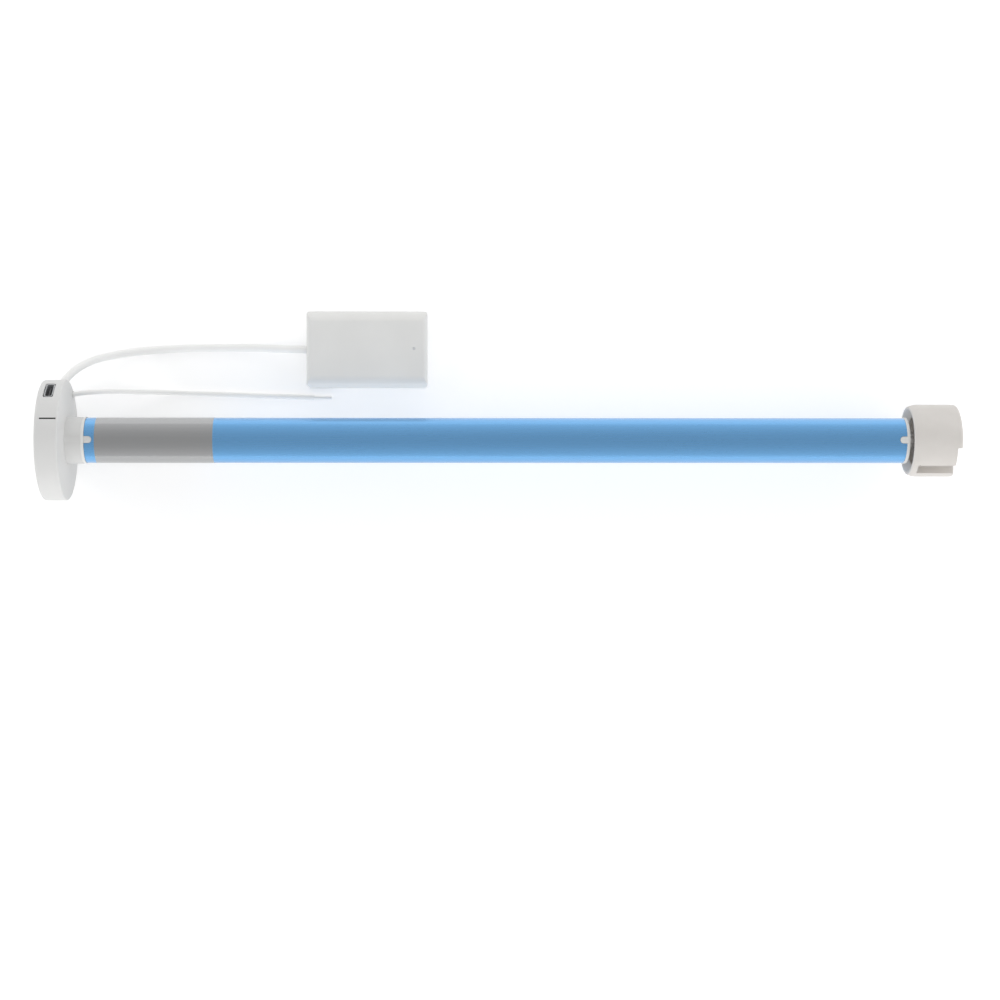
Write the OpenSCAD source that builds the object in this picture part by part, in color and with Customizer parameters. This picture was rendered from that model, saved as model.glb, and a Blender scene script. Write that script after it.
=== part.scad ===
// Tubular roller blind motor with a round head, a radio module on a lead and a drive wheel.
// The tube lies along +X, the origin is the centre of the head's outer face, and +Z is up.

/* [Head] */
// Diameter of the head
head_d = 47.8; // [46:0.1:60]
// Length of the head along the tube
head_t = 9.1; // [9.1:0.1:12]
// Wall of the head's rim
head_wall = 2.3; // [1.6:0.1:3]
// Floor of the head on the tube's side
head_floor = 1.9; // [1.2:0.1:1.9]
// Rounding of the rim at the outer face
head_outer_round = 1; // [0.3:0.1:1]
// Rounding of the rim at the tube's side
head_inner_round = 0.6; // [0.2:0.1:1.2]
// Thickness of the inset cover
cover_t = 2; // [1.6:0.1:2.2]
// Width of the ledge that the cover rests on
cover_ledge = 0.8; // [0.5:0.1:1.2]
// Diameter of the neck between head and tube
neck_d = 18.6; // [18.4:0.1:24]
// Length of the neck
neck_len = 6.4; // [3:0.1:12]
// Width of the key rib on the neck
rib_w = 2.9; // [1:0.1:5]
// Height of the key rib on the neck
rib_h = 0.25; // [0.1:0.05:1]
// Diameter of the collar that meets the tube
collar_d = 18.3; // [18:0.1:19]
// Length of that collar
collar_len = 1.2; // [0.6:0.1:3]
// Length of the spigot inside the tube
spigot_len = 12; // [6:0.5:20]
// Bore through neck and spigot for the wires
wire_bore_d = 13; // [8:0.5:14]
// Radius of the circle of cover screws
cover_screw_r = 18.4; // [17:0.1:18.8]
// Shank diameter of a cover screw
cover_screw_d = 1.9; // [1.4:0.1:2.2]
// Head diameter of a cover screw
cover_screw_head_d = 3.8; // [3:0.1:4.4]
// Thickness of the head's circuit board
head_board_t = 1; // [0.6:0.1:1.2]

/* [Bracket socket] */
// Bore that takes the bracket's stub
bracket_bore_d = 12; // [8:0.5:14]
// Depth of that bore
bracket_bore_depth = 4.4; // [2:0.1:4.6]
// Width of the two key notches in the bore
bracket_key_w = 2.4; // [1:0.1:4]
// Depth of the two key notches
bracket_key_depth = 1.2; // [0.5:0.1:1.6]
// Wall of the socket's cup
bracket_wall = 1.4; // [1:0.1:2]
// Distance between the two bracket screw holes
bracket_screw_pitch = 30; // [26:0.5:32]
// Diameter of a bracket screw hole
bracket_screw_d = 2.5; // [1.5:0.1:3]

/* [Rim fittings] */
// Angle of the charge port, from +Z towards +Y
port_phi = 54.6; // [50:0.1:60]
// Place of the charge port along the tube
port_x = 4.4; // [4.2:0.05:4.4]
// Width of the port's metal shell
port_w = 8.9; // [7:0.1:9.2]
// Height of the port's metal shell
port_h = 3.2; // [2.4:0.1:3.4]
// Depth of the port's metal shell
port_depth = 7; // [5:0.1:8]
// Sheet of the port's metal shell
port_sheet = 0.3; // [0.2:0.05:0.5]
// Margin of the mouth round the port's shell
port_margin = 0.4; // [0.2:0.05:0.6]
// Corner radius of the port's shell
port_corner = 1.1; // [0.8:0.05:1.15]
// Corner radius of the mouth round it
port_mouth_corner = 0.7; // [0.4:0.05:1.2]
// Angle of the indicator light bar
lens_phi = 19; // [10:0.5:30]
// Place of the light bar's middle along the tube
lens_x = 5.25; // [5:0.05:5.3]
// Length of the light bar
lens_len = 6.3; // [4:0.1:6.4]
// Width of the light bar
lens_w = 0.5; // [0.4:0.05:1.2]
// Angle of the set button
button_phi = -105; // [-115:1:-95]
// Diameter of the set button
button_d = 3; // [2:0.1:3.1]
// Travel of the set button
button_travel = 0.5; // [0.3:0.05:0.6]

/* [Tube] */
// Outer diameter of the tube
tube_d = 18; // [17.6:0.1:18.2]
// Wall of the tube
tube_wall = 0.8; // [0.6:0.05:0.9]
// Length of the tube
tube_len = 324.5; // [316:0.5:500]
// Width of the key tongues at both tube ends
tongue_w = 2.7; // [1.5:0.1:4]
// Length of the tongue at the head
head_tongue_len = 3.1; // [2:0.1:6]
// Length of the tongue at the driven end
plug_tongue_len = 2.8; // [2:0.1:6]
// Gap from the collar to the label
label_gap = 4.1; // [3.6:0.1:20]
// Length of the label sleeve
label_len = 46.4; // [20:0.1:100]
// Thickness of the label sleeve
label_t = 0.1; // [0.05:0.01:0.2]

/* [Driven end] */
// Diameter of the end plug's flange
plug_flange_d = 18.3; // [17:0.1:19]
// Thickness of the end plug's flange
plug_flange_t = 1.3; // [0.8:0.1:2]
// Length of the end plug inside the tube
plug_len = 14; // [8:0.5:20]
// Diameter of the output shaft
shaft_d = 8; // [6:0.1:8.6]
// Number of splines on the output shaft
spline_count = 12; // [8:1:16]
// Depth of a spline
spline_depth = 0.7; // [0.3:0.1:1]
// Outer diameter of the output bearing
bearing_d = 11; // [10:0.5:13]
// Gap between end plug and drive wheel
wheel_gap = 0.6; // [0.5:0.1:5]
// Diameter of the drive wheel
wheel_d = 28.7; // [28:0.1:40]
// Length of the drive wheel
wheel_len = 19; // [17:0.1:24]
// Length of the rounded lead-in at the wheel's tube side
wheel_lead_in = 3.4; // [2:0.1:4]
// Fall of the radius over that lead-in
wheel_lead_drop = 0.9; // [0.4:0.1:1.2]
// Round at the edge of the outer face
wheel_end_round = 1.2; // [0.4:0.1:1.6]
// Diameter of the dished mouth on the tube's side
wheel_mouth_d = 25; // [21:0.1:26]
// Depth of the dished mouth
wheel_mouth_depth = 2.3; // [1:0.1:3]
// Diameter of the bore behind the mouth
wheel_open_d = 19; // [16:0.1:19.6]
// Depth of that bore from the wheel's tube side
wheel_open_depth = 6.8; // [5:0.1:7.4]
// Diameter of the recess in the outer face
wheel_recess_d = 18.6; // [16:0.1:19.6]
// Depth of the recess in the outer face
wheel_recess_depth = 8.8; // [7:0.1:9.2]
// Outer diameter of the wheel's hub
wheel_hub_d = 11.6; // [11:0.1:13]
// Depth of the hub's end below the outer face
wheel_hub_inset = 5.1; // [4.4:0.1:6]
// Angle of the first keyway, from +Z towards +Y
key_phi = -56; // [-180:1:180]
// Width of a keyway
key_w = 5; // [3:0.1:7]
// Depth of a keyway
key_depth = 3.2; // [1.5:0.1:3.6]
// Length of the rim that closes the keyways on the tube's side
key_stop = 2.5; // [1:0.1:4]
// Length of the end lip that is cut back beside the keyways
lip_len = 2; // [1:0.1:3]
// Angle over which the lip is cut back
lip_angle = 84; // [50:1:100]
// Thread diameter of the wheel's screw
wheel_screw_d = 2.4; // [2:0.1:3]

/* [Drive] */
// Module of the gear teeth
tooth_module = 0.3; // [0.28:0.01:0.3]
// Pressure angle of the teeth
pressure_angle = 25; // [24:0.5:26]
// Gap between two meshing flanks
flank_gap = 0.05; // [0.04:0.005:0.06]
// Face width of the first planets
stage1_w = 4; // [3:0.1:5]
// Face width of the second planets
stage2_w = 4.5; // [3:0.1:6]
// Face width of the last planets
stage3_w = 6; // [4:0.1:8]
// Thickness of the two inner carrier plates
carrier_t = 1.2; // [0.8:0.1:2]
// Thickness of the output carrier plate
output_plate_t = 2; // [1.6:0.1:3]
// Diameter of a planet pin
planet_pin_d = 1.6; // [1.2:0.1:1.8]
// Diameter of the motor shaft
motor_shaft_d = 1.5; // [1:0.1:1.6]
// Diameter of the motor can
motor_d = 15; // [14:0.1:15.2]
// Length of the motor can
motor_len = 34; // [28:0.5:42]
// Diameter of a cell
cell_d = 14; // [12:0.1:14.2]
// Length of a cell
cell_len = 65; // [48:0.5:66]
// Number of cells
cell_count = 2; // [1:1:2]
// Length of the control board
control_len = 62; // [40:0.5:66]
// Width of the control board
control_w = 13; // [10:0.1:14]

/* [Radio module] */
// Length of the module
module_len = 48.9; // [40:0.1:70]
// Width of the module
module_w = 30.7; // [26:0.1:40]
// Height of the module
module_h = 12; // [11:0.1:16]
// Height of the module's base
module_base_h = 2.6; // [2:0.1:2.8]
// Wall of the module's shells
module_wall = 1.4; // [1:0.1:2]
// Rounding of the long top edges
module_side_round = 4.5; // [2:0.1:5]
// Rounding of the top edges at both ends
module_end_round = 2.2; // [1:0.1:4]
// Rounding of the upright corners
module_corner_round = 1.4; // [0.5:0.1:4]
// Rounding of the bottom edges
module_foot_round = 0.8; // [0.3:0.1:1.2]
// Distance from the far end to the light guide
module_light_inset = 5.5; // [4:0.1:10]
// Diameter of the light guide
module_light_d = 1; // [0.6:0.1:2]

/* [Cords] */
// Diameter of the module lead
lead_d = 3.2; // [2.6:0.1:3.4]
// Diameter of the antenna wire
antenna_d = 2; // [1.4:0.1:2.2]

/* [Hidden] */
$fn = 48;
// Clearance between fixed pieces that are slid together
seat_gap = 0.1;
// Radial clearance of a shaft in its bearing and of a planet on its pin
run_gap = 0.05;
// End float between turning pieces
end_float = 0.25;
// How far a cutting tool reaches past the face that it opens
past = 1;

// Head, from the outer face inwards
head_r = head_d / 2;
floor_z = -head_r;
cavity_r = head_r - head_wall;
cover_seat_r = cavity_r + cover_ledge;
cover_r = cover_seat_r - seat_gap;
head_floor_x = head_t - head_floor;
neck_end_x = head_t + neck_len;
tube_x0 = neck_end_x + collar_len;
tube_x1 = tube_x0 + tube_len;
tube_r = tube_d / 2;
bore_r = tube_r - tube_wall;
spigot_r = bore_r - seat_gap;
tongue_gap = 0.1;
boss_r = cover_screw_head_d / 2 + 0.3;
cover_screw_phis = [-35, 85, 205];
cover_screw_head_t = 0.9;
cover_screw_len = head_floor_x - 0.9;
bracket_key_r = bracket_bore_d / 2 + bracket_key_depth;
bracket_boss_r = bracket_screw_d / 2 + 1.2;
bracket_boss_end = cover_t + 2.4;
socket_end_x = bracket_bore_depth + 1;
head_board_x0 = head_floor_x - seat_gap - head_board_t;
head_board_r = cavity_r - 1.2;
head_board_hole_r = bracket_key_r + bracket_wall + 0.6;
port_inner_r = head_r - 0.5 - port_depth;
port_tongue_w = port_w - 2.2;
port_tongue_t = 0.7;
lens_pocket_depth = 1.2;
lens_stem_len = 4;
lens_stem_in = 0.9;
button_rest_r = head_r - 0.15;
button_flange_t = 0.8;
button_flange_w = button_d + 2;
button_flange_r = cavity_r - 0.6;
switch_gap = 0.1;
switch_tip_r = button_flange_r - button_flange_t - button_travel - switch_gap;
switch_body_w = 4.5;
switch_body_depth = 2.8;
switch_stem_len = 0.6;
switch_stem_d = 1.8;

// Leads of the head: where they leave it, and the routes that they lie on
lead_phi = 110;
lead_x = 5.8;
lead_hole_r = lead_d / 2 + 0.75;
antenna_y = 18.8;
antenna_z = -10.9;
antenna_hole_r = antenna_d / 2 + 0.45;
lead_route = [
    [5.8, 20.8, -7.6], [5.8, 22.5, -8.2], [6, 23.8, -8.7], [6.8, 25.1, -9.4], [7.9, 26.5, -10.3],
    [9.3, 28.1, -11.5], [11.3, 29.8, -13.2], [13.7, 31.4, -15], [17.2, 33.2, -17.2], [22, 34.7, -19.9],
    [28, 36, -21.7], [35, 37, -22.3], [43, 37.6, -22.3], [52, 38.1, -22.3], [61, 38.3, -22.3],
    [70, 38.4, -22.2], [78, 38.4, -21.5], [86, 38.1, -20.3], [94, 37.7, -19.1], [99, 37.5, -18.5],
    [102.9, 37.4, -18.4], [104.2, 37.4, -18.4]
];
antenna_route = [
    [7.4, 18.8, -10.9], [9.4, 18.8, -10.9], [12, 19.2, -11], [16, 19.7, -11.7], [21, 20, -13.3],
    [27, 20.2, -15.6], [33, 20.2, -18], [39, 20.2, -20.1], [45, 20.1, -21.7], [51, 19.9, -22.6],
    [58, 19.7, -22.9], [67, 19.4, -22.9], [77, 19.1, -22.9], [87, 18.7, -22.9], [97, 18.4, -22.9],
    [105.4, 18, -22.9]
];
antenna_tip_route = [[105.4, 18, -22.9], [108.9, 18, -22.9], [112.4, 18, -22.9]];
antenna_tip_share = 0.6;
cord_sides = 8;
rings_per_stretch = 2;

// Driven end, from the tube's end outwards
plug_x0 = tube_x1 - plug_len;
plug_x1 = tube_x1 + plug_flange_t;
wheel_x0 = plug_x1 + wheel_gap;
wheel_x1 = wheel_x0 + wheel_len;
wheel_r = wheel_d / 2;
shaft_r = shaft_d / 2;
shaft_stub_r = shaft_r / 2;
spline_x0 = plug_x1 + 0.1;
hub_x0 = wheel_x0 + wheel_open_depth;
web_x1 = wheel_x1 - wheel_recess_depth;
hub_x1 = wheel_x1 - wheel_hub_inset;
wheel_screw_head_t = 2;
wheel_screw_head_d = 6.8;
wheel_screw_len = 8;
bearing_flange_t = 0.8;
bearing_flange_d = bearing_d + 2.4;

// Planetary train: three stages that share one ring of internal teeth
sun_teeth = 9;
planet_teeth = 18;
ring_teeth = sun_teeth + 2 * planet_teeth;
planet_count = 3;
stage_count = 3;
sun_shift = 0.2;
planet_shift = -0.2;
addendum = 0.85;
dedendum = 1.1;
flank_steps = 3;
planet_w = [stage1_w, stage2_w, stage3_w];
orbit_r = tooth_module * (sun_teeth + planet_teeth) / 2;
pin_r = planet_pin_d / 2;
carrier_r = tooth_module * (ring_teeth / 2 - addendum + planet_shift) - 0.35;
gear_wall_r = bore_r - seat_gap;
gear_flange_t = 1.6;
output_plate_x1 = plug_x0 - end_float;
output_plate_x0 = output_plate_x1 - output_plate_t;
stage3_x0 = output_plate_x0 - end_float - planet_w[2];
carrier2_x0 = stage3_x0 - end_float - carrier_t;
stage2_x0 = carrier2_x0 - end_float - planet_w[1];
carrier1_x0 = stage2_x0 - end_float - carrier_t;
stage1_x0 = carrier1_x0 - end_float - planet_w[0];
gear_inner_x = stage1_x0 - end_float;
gear_x0 = gear_inner_x - gear_flange_t;
stage_x0 = [stage1_x0, stage2_x0, stage3_x0];

// Motor behind the gearbox
motor_r = motor_d / 2;
motor_x1 = gear_x0;
motor_x0 = motor_x1 - motor_len;
motor_sheet = 0.6;
motor_front_t = 1;
motor_shaft_r = motor_shaft_d / 2;
nose_r = 3;
nose_len = gear_flange_t - 0.2;
bush_r = 2;
end_cap_t = 4;
end_cap_rim_t = 1;
terminal_place = 4;
terminal_slot = [1, 3];
magnet_in_r = motor_r - motor_sheet - 1.4;
magnet_angle = 130;
magnet_margin = 4;
stack_r = magnet_in_r - 0.3;
stack_poles = 5;
stack_margin = 6;
commutator_r = 2.2;
commutator_len = 3.6;
tail_len = 5;
hall_r = 3.2;
hall_t = 2;
damper_back = tail_len + 1;
damper_grip = 8;
damper_gap = 0.05;

// Electronics between head and motor
carrier_wall_t = 2;
tab_t = 0.4;
tab_w = 4;
tab_h = 9;
tab_corner = 1.5;
cell_r = cell_d / 2;
cell_nub_r = 2.6;
cell_nub_h = 1;
cell_pitch = cell_len + tab_t;
pack_x0 = tube_x0 + spigot_len + seat_gap;
pack_cells_x0 = pack_x0 + carrier_wall_t + tab_t;
pack_x1 = pack_cells_x0 + cell_count * cell_pitch + carrier_wall_t;
pack_open_z = cell_r / 2;
control_t = 1;
control_x0 = pack_x1 + seat_gap;
board_edge = 1;
board_socket = [6, 6, 4.5];
capacitor_place = 0.86;
capacitor_r = 3;
capacitor_h = 5;
// Parts on top of the driver board: share of its length, then size
board_parts = [[0.02, [6, 8, 4.5]], [0.21, [7, 7, 1]], [0.45, [5, 5, 1.2]], [0.62, [6, 6, 3]]];

// Radio module: the lead's end says where it lies
lead_end = lead_route[len(lead_route) - 1];
lead_bury = 1.5;
module_x0 = lead_end.x - lead_bury;
module_x1 = module_x0 + module_len;
module_y0 = lead_end.y - module_w / 2;
module_z1 = floor_z + module_h;
module_split_z = floor_z + module_base_h;
module_lip_t = 0.8;
module_lip_h = 1.2;
module_board_t = 1;
module_board_z1 = module_split_z + module_lip_h + module_board_t;
module_led_h = 0.8;
light_source = [2, 1.6];
radio_place = 20;
radio_can = [14, 16, 2.4];
lead_socket_place = 5;
lead_socket = [6, 8, 4];
module_board_gap = 1;
module_light_x = module_x1 - module_light_inset;

// Turns a flat drawing so that its x lies along +Y, its y along +Z and its height along +X
module facing_x(x = 0) {
    translate([x, 0, 0])
        rotate([90, 0, 90])
            children();
}

// Points +Z outwards at the angle phi, which runs from +Z towards +Y
module at_phi(phi) {
    rotate([-phi, 0, 0])
        children();
}

// Round bar along +X from x0 to x1
module rod(x0, x1, r) {
    facing_x(x0)
        cylinder(r = r, h = x1 - x0);
}

// Round tube along +X
module pipe(x0, x1, r_out, r_in) {
    difference() {
        rod(x0, x1, r_out);
        rod(x0 - past, x1 + past, r_in);
    }
}

// Half profile of a disc from x0 to x1 with rounded rims, drawn as radius against length
module disc_profile(x0, x1, r, round0, round1) {
    middle = (x0 + x1) / 2;
    translate([0, x0 + round0])
        square([r, x1 - x0 - round0 - round1]);
    translate([0, x0])
        square([r - round0, middle - x0]);
    translate([0, middle])
        square([r - round1, x1 - middle]);
    translate([r - round0, x0 + round0])
        circle(r = round0);
    translate([r - round1, x1 - round1])
        circle(r = round1);
}

// Disc along +X with rounded rims
module rounded_disc(x0, x1, r, round0, round1) {
    facing_x()
        rotate_extrude()
            disc_profile(x0, x1, r, round0, round1);
}

// Rectangle with its middle at the origin and four rounded corners
module rounded_rect(w, h, r) {
    square([w - 2 * r, h], center = true);
    square([w, h - 2 * r], center = true);
    for (sx = [-1, 1], sy = [-1, 1])
        translate([sx * (w / 2 - r), sy * (h / 2 - r)])
            circle(r = r);
}

// Sector of a disc about the first axis, as wide as the angle says
module sector(r, angle) {
    half = angle / 2;
    reach = r / cos(half / 2);
    polygon([
        [0, 0],
        [reach * cos(half), -reach * sin(half)],
        [reach, -reach * tan(half / 2)],
        [reach, reach * tan(half / 2)],
        [reach * cos(half), reach * sin(half)]
    ]);
}

// Key tongue on the tube's top, from x0 to x1, with its round end at the end_x side
module tongue(root_x, end_x, w, r_in, r_out) {
    side = sign(end_x - root_x);
    centre_x = end_x - side * w / 2;
    intersection() {
        linear_extrude(height = r_out + past) {
            translate([min(root_x, centre_x), -w / 2])
                square([abs(centre_x - root_x), w]);
            translate([centre_x, 0])
                circle(r = w / 2);
        }
        pipe(min(root_x, end_x) - past, max(root_x, end_x) + past, r_out, r_in);
    }
}

// Angle in degrees that an involute adds at a pressure angle
function involute(angle) = tan(angle) * 180 / PI - angle;

// Half the angle that a tooth takes at radius r
function tooth_half(teeth, shift, thin, r) =
    let (pitch_r = tooth_module * teeth / 2)
    let (base_r = pitch_r * cos(pressure_angle))
    90 / teeth
    + (2 * shift * tan(pressure_angle) / teeth - thin / (2 * pitch_r)) * 180 / PI
    + involute(pressure_angle) - involute(acos(min(1, base_r / r)));

// Outline of a spur gear whose first tooth points along the first axis
function gear_outline(teeth, shift, tip, root, thin) =
    let (pitch_r = tooth_module * teeth / 2)
    let (base_r = pitch_r * cos(pressure_angle))
    let (tip_r = pitch_r + tooth_module * (tip + shift))
    let (root_r = pitch_r - tooth_module * (root - shift))
    let (start_r = max(base_r, root_r))
    let (radii = [for (k = [0:flank_steps]) start_r + (tip_r - start_r) * k / flank_steps])
    let (halves = [for (r = radii) tooth_half(teeth, shift, thin, r)])
    [
        for (tooth = [0:teeth - 1])
            let (middle = tooth * 360 / teeth)
            each concat(
                root_r < base_r ? [polar(root_r, middle - halves[0])] : [],
                [for (k = [0:flank_steps]) polar(radii[k], middle - halves[k])],
                [for (k = [flank_steps:-1:0]) polar(radii[k], middle + halves[k])],
                root_r < base_r ? [polar(root_r, middle + halves[0])] : []
            )
    ];

function polar(r, angle) = [r * cos(angle), r * sin(angle)];

// Arc by which each gear's teeth are thinned, so that two flanks stay flank_gap apart
function tooth_thinning() = flank_gap / cos(pressure_angle);

// Spur gear with external teeth along +X
module spur(x0, w, teeth, shift, turn) {
    facing_x(x0)
        rotate([0, 0, turn])
            linear_extrude(height = w)
                polygon(gear_outline(teeth, shift, addendum, dedendum, tooth_thinning()));
}

// Sun of a stage: half a pitch on, so that each planet's tooth meets a space
module sun(x0, w) {
    spur(x0, w, sun_teeth, sun_shift, 180 / sun_teeth);
}

// Puts its children at each planet's place
module each_planet() {
    for (k = [0:planet_count - 1])
        translate(planet_centre(k))
            children();
}

function planet_angle(k) = k * 360 / planet_count;
function planet_centre(k) = [0, orbit_r * cos(planet_angle(k)), orbit_r * sin(planet_angle(k))];

// Smooth curve through hand-placed points
function curve_point(p, i, t) =
    let (a = p[max(i - 1, 0)])
    let (b = p[i])
    let (c = p[i + 1])
    let (d = p[min(i + 2, len(p) - 1)])
    0.5 * (2 * b + (c - a) * t + (2 * a - 5 * b + 4 * c - d) * t * t
        + (3 * b - a - 3 * c + d) * t * t * t);

function smooth_route(p, steps) = concat(
    [for (i = [0:len(p) - 2], k = [0:steps - 1]) curve_point(p, i, k / steps)],
    [p[len(p) - 1]]
);

function unit(v) = v / norm(v);

function heading(p, i) = unit(p[min(i + 1, len(p) - 1)] - p[max(i - 1, 0)]);

// One ring of a cord's skin, square to its heading
function cord_ring(p, i, r) =
    let (along = heading(p, i))
    let (side = unit(cross(along, [0, 0, 1])))
    let (over = cross(side, along))
    [for (k = [0:cord_sides - 1]) p[i] + r * (cos(k * 360 / cord_sides) * side
        + sin(k * 360 / cord_sides) * over)];

// Round cord swept along a route
module cord(route, d) {
    p = smooth_route(route, rings_per_stretch);
    rings = len(p);
    points = [for (i = [0:rings - 1]) each cord_ring(p, i, d / 2)];
    walls = [
        for (i = [0:rings - 2], k = [0:cord_sides - 1])
            let (n = (k + 1) % cord_sides)
            let (a = i * cord_sides)
            let (b = a + cord_sides)
            each [[a + k, a + n, b + n], [a + k, b + n, b + k]]
    ];
    start_cap = [for (k = [cord_sides - 1:-1:0]) k];
    end_cap = [for (k = [0:cord_sides - 1]) (rings - 1) * cord_sides + k];
    polyhedron(points = points, faces = concat(walls, [start_cap, end_cap]));
}

module head_housing() {
    color("#e6e6e6")
        difference() {
            union() {
                difference() {
                    head_shell();
                    rod(cover_t, head_floor_x, cavity_r);
                    rod(-past, cover_t, cover_seat_r);
                }
                for (phi = cover_screw_phis)
                    at_phi(phi)
                        translate([0, 0, cover_screw_r])
                            rod(cover_t, head_floor_x + head_floor / 2, boss_r);
            }
            rod(head_floor_x - past, tube_x0 + spigot_len + past, wire_bore_d / 2);
            for (phi = cover_screw_phis)
                at_phi(phi)
                    translate([0, 0, cover_screw_r])
                        rod(cover_t - past, cover_screw_len + 0.4, cover_screw_d / 2 + run_gap);
            port_mouth();
            lens_slot(seat_gap / 2);
            at_phi(button_phi)
                translate([port_x, 0, cavity_r - past])
                    cylinder(r = button_d / 2 + seat_gap, h = head_wall + 2 * past);
            at_phi(lead_phi)
                translate([lead_x, 0, cavity_r - past])
                    cylinder(r = lead_hole_r, h = head_wall + 2 * past);
            translate([0, antenna_y, antenna_z])
                rod(head_floor_x - past, head_t + past, antenna_hole_r);
        }
}

// Head, neck, collar, spigot and tongue before the hollow and the openings are cut
module head_shell() {
    rounded_disc(0, head_t, head_r, head_outer_round, head_inner_round);
    rod(head_t - head_floor / 2, neck_end_x, neck_d / 2);
    rod(neck_end_x - past, tube_x0, collar_d / 2);
    rod(tube_x0 - past, tube_x0 + spigot_len, spigot_r);
    intersection() {
        translate([head_t - head_floor / 2, -rib_w / 2, 0])
            cube([neck_len + head_floor / 2, rib_w, neck_d]);
        rod(head_t - head_floor / 2, neck_end_x, neck_d / 2 + rib_h);
    }
    tongue(tube_x0 - collar_len / 2, tube_x0 + head_tongue_len, tongue_w, spigot_r / 2, tube_r);
}

// Opening for the charge port through the rim, nearly square in its corners
module port_mouth() {
    at_phi(port_phi)
        translate([port_x, 0, cavity_r - past])
            linear_extrude(height = head_wall + 2 * past)
                rounded_rect(port_h + 2 * port_margin, port_w + 2 * port_margin, port_mouth_corner);
}

// Outline of the port's shell, grown by a margin: its width runs round the rim
module port_outline(grow) {
    rounded_rect(port_h + 2 * grow, port_w + 2 * grow, port_corner + grow);
}

// Slot of the light bar: a shallow bar outside and a shorter stem through the wall
module lens_slot(grow) {
    at_phi(lens_phi) {
        translate([lens_x - lens_len / 2 - grow, -lens_w / 2 - grow, head_r - lens_pocket_depth - grow])
            cube([lens_len + 2 * grow, lens_w + 2 * grow, lens_pocket_depth + past]);
        translate([port_x - lens_stem_len / 2 - grow, -lens_w / 2 - grow, cavity_r - lens_stem_in])
            cube([lens_stem_len + 2 * grow, lens_w + 2 * grow, head_wall + lens_stem_in - 0.5]);
    }
}

module head_cover() {
    color("#e2e2e2")
        difference() {
            union() {
                rounded_disc(0, cover_t, cover_r, 0.3, 0.1);
                rod(cover_t / 2, socket_end_x, bracket_key_r + bracket_wall);
                for (side = [-1, 1])
                    translate([0, 0, side * bracket_screw_pitch / 2])
                        rod(cover_t / 2, bracket_boss_end, bracket_boss_r);
            }
            rod(-past, bracket_bore_depth, bracket_bore_d / 2);
            for (side = [0, 180])
                at_phi(side)
                    translate([-past, -bracket_key_w / 2, 0])
                        cube([bracket_bore_depth + past, bracket_key_w, bracket_key_r]);
            for (side = [-1, 1])
                translate([0, 0, side * bracket_screw_pitch / 2])
                    rod(-past, bracket_boss_end + past, bracket_screw_d / 2);
            for (phi = cover_screw_phis)
                at_phi(phi)
                    translate([0, 0, cover_screw_r]) {
                        rod(-past, cover_screw_head_t + 0.2, cover_screw_head_d / 2 + seat_gap);
                        rod(-past, cover_t + past, cover_screw_d / 2 + seat_gap);
                    }
        }
}

module cover_screws() {
    color("#8c8c8c")
        for (phi = cover_screw_phis)
            at_phi(phi)
                translate([0, 0, cover_screw_r]) {
                    rounded_disc(0.2, cover_screw_head_t + 0.2, cover_screw_head_d / 2, 0.4, 0.1);
                    rod(cover_screw_head_t, cover_screw_len, cover_screw_d / 2);
                }
}

module charge_port_shell() {
    color("#b9bcc0")
        at_phi(port_phi)
            translate([port_x, 0, port_inner_r])
                difference() {
                    linear_extrude(height = port_depth)
                        port_outline(0);
                    translate([0, 0, port_sheet])
                        linear_extrude(height = port_depth)
                            port_outline(-port_sheet);
                }
}

module charge_port_tongue() {
    color("#2b2b2d")
        at_phi(port_phi)
            translate([port_x, 0, port_inner_r + port_sheet]) {
                linear_extrude(height = port_depth - port_sheet - 1)
                    square([port_tongue_t, port_tongue_w], center = true);
                linear_extrude(height = 1.5)
                    port_outline(-port_sheet - 0.02);
            }
}

module head_board() {
    color("#2f6b3c")
        difference() {
            rod(head_board_x0, head_board_x0 + head_board_t, head_board_r);
            rod(head_board_x0 - past, head_floor_x, head_board_hole_r);
            for (phi = cover_screw_phis)
                at_phi(phi)
                    translate([0, 0, cover_screw_r])
                        rod(head_board_x0 - past, head_floor_x, boss_r + seat_gap);
            translate([0, antenna_y, antenna_z])
                rod(head_board_x0 - past, head_floor_x, antenna_hole_r + 0.4);
        }
}

module tact_switch() {
    color("#3a3a3c")
        at_phi(button_phi)
            translate([0, 0, switch_tip_r - switch_stem_len - switch_body_depth]) {
                translate([cover_t + seat_gap, -switch_body_w / 2, 0])
                    cube([head_board_x0 - cover_t - 2 * seat_gap, switch_body_w, switch_body_depth]);
                translate([port_x, 0, switch_body_depth / 2])
                    cylinder(r = switch_stem_d / 2, h = switch_stem_len + switch_body_depth / 2);
            }
}

module set_button() {
    color("#d8d8d8")
        at_phi(button_phi)
            translate([port_x, 0, 0]) {
                translate([0, 0, button_flange_r - button_flange_t / 2])
                    cylinder(r = button_d / 2, h = button_rest_r - button_flange_r + button_flange_t / 2);
                translate([-button_d / 2, -button_flange_w / 2, button_flange_r - button_flange_t])
                    cube([button_d, button_flange_w, button_flange_t]);
            }
}

module indicator_lens() {
    color("#1c1c1e")
        intersection() {
            lens_slot(0);
            rod(0, head_t, head_r - 0.05);
        }
}

module lead_grommet() {
    color("#d6d6d6")
        at_phi(lead_phi)
            translate([lead_x, 0, cavity_r - 0.6])
                difference() {
                    cylinder(r = lead_hole_r - seat_gap / 2, h = head_wall + 0.8);
                    translate([0, 0, -past])
                        cylinder(r = lead_d / 2 + run_gap, h = head_wall + 3 * past);
                }
}

module antenna_grommet() {
    color("#dcdcdc")
        translate([0, antenna_y, antenna_z])
            pipe(head_floor_x + 0.1, head_t + 0.3, antenna_hole_r - seat_gap / 2, antenna_d / 2 + run_gap);
}

module module_lead() {
    color("#e4e4e4")
        cord(lead_route, lead_d);
}

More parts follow.
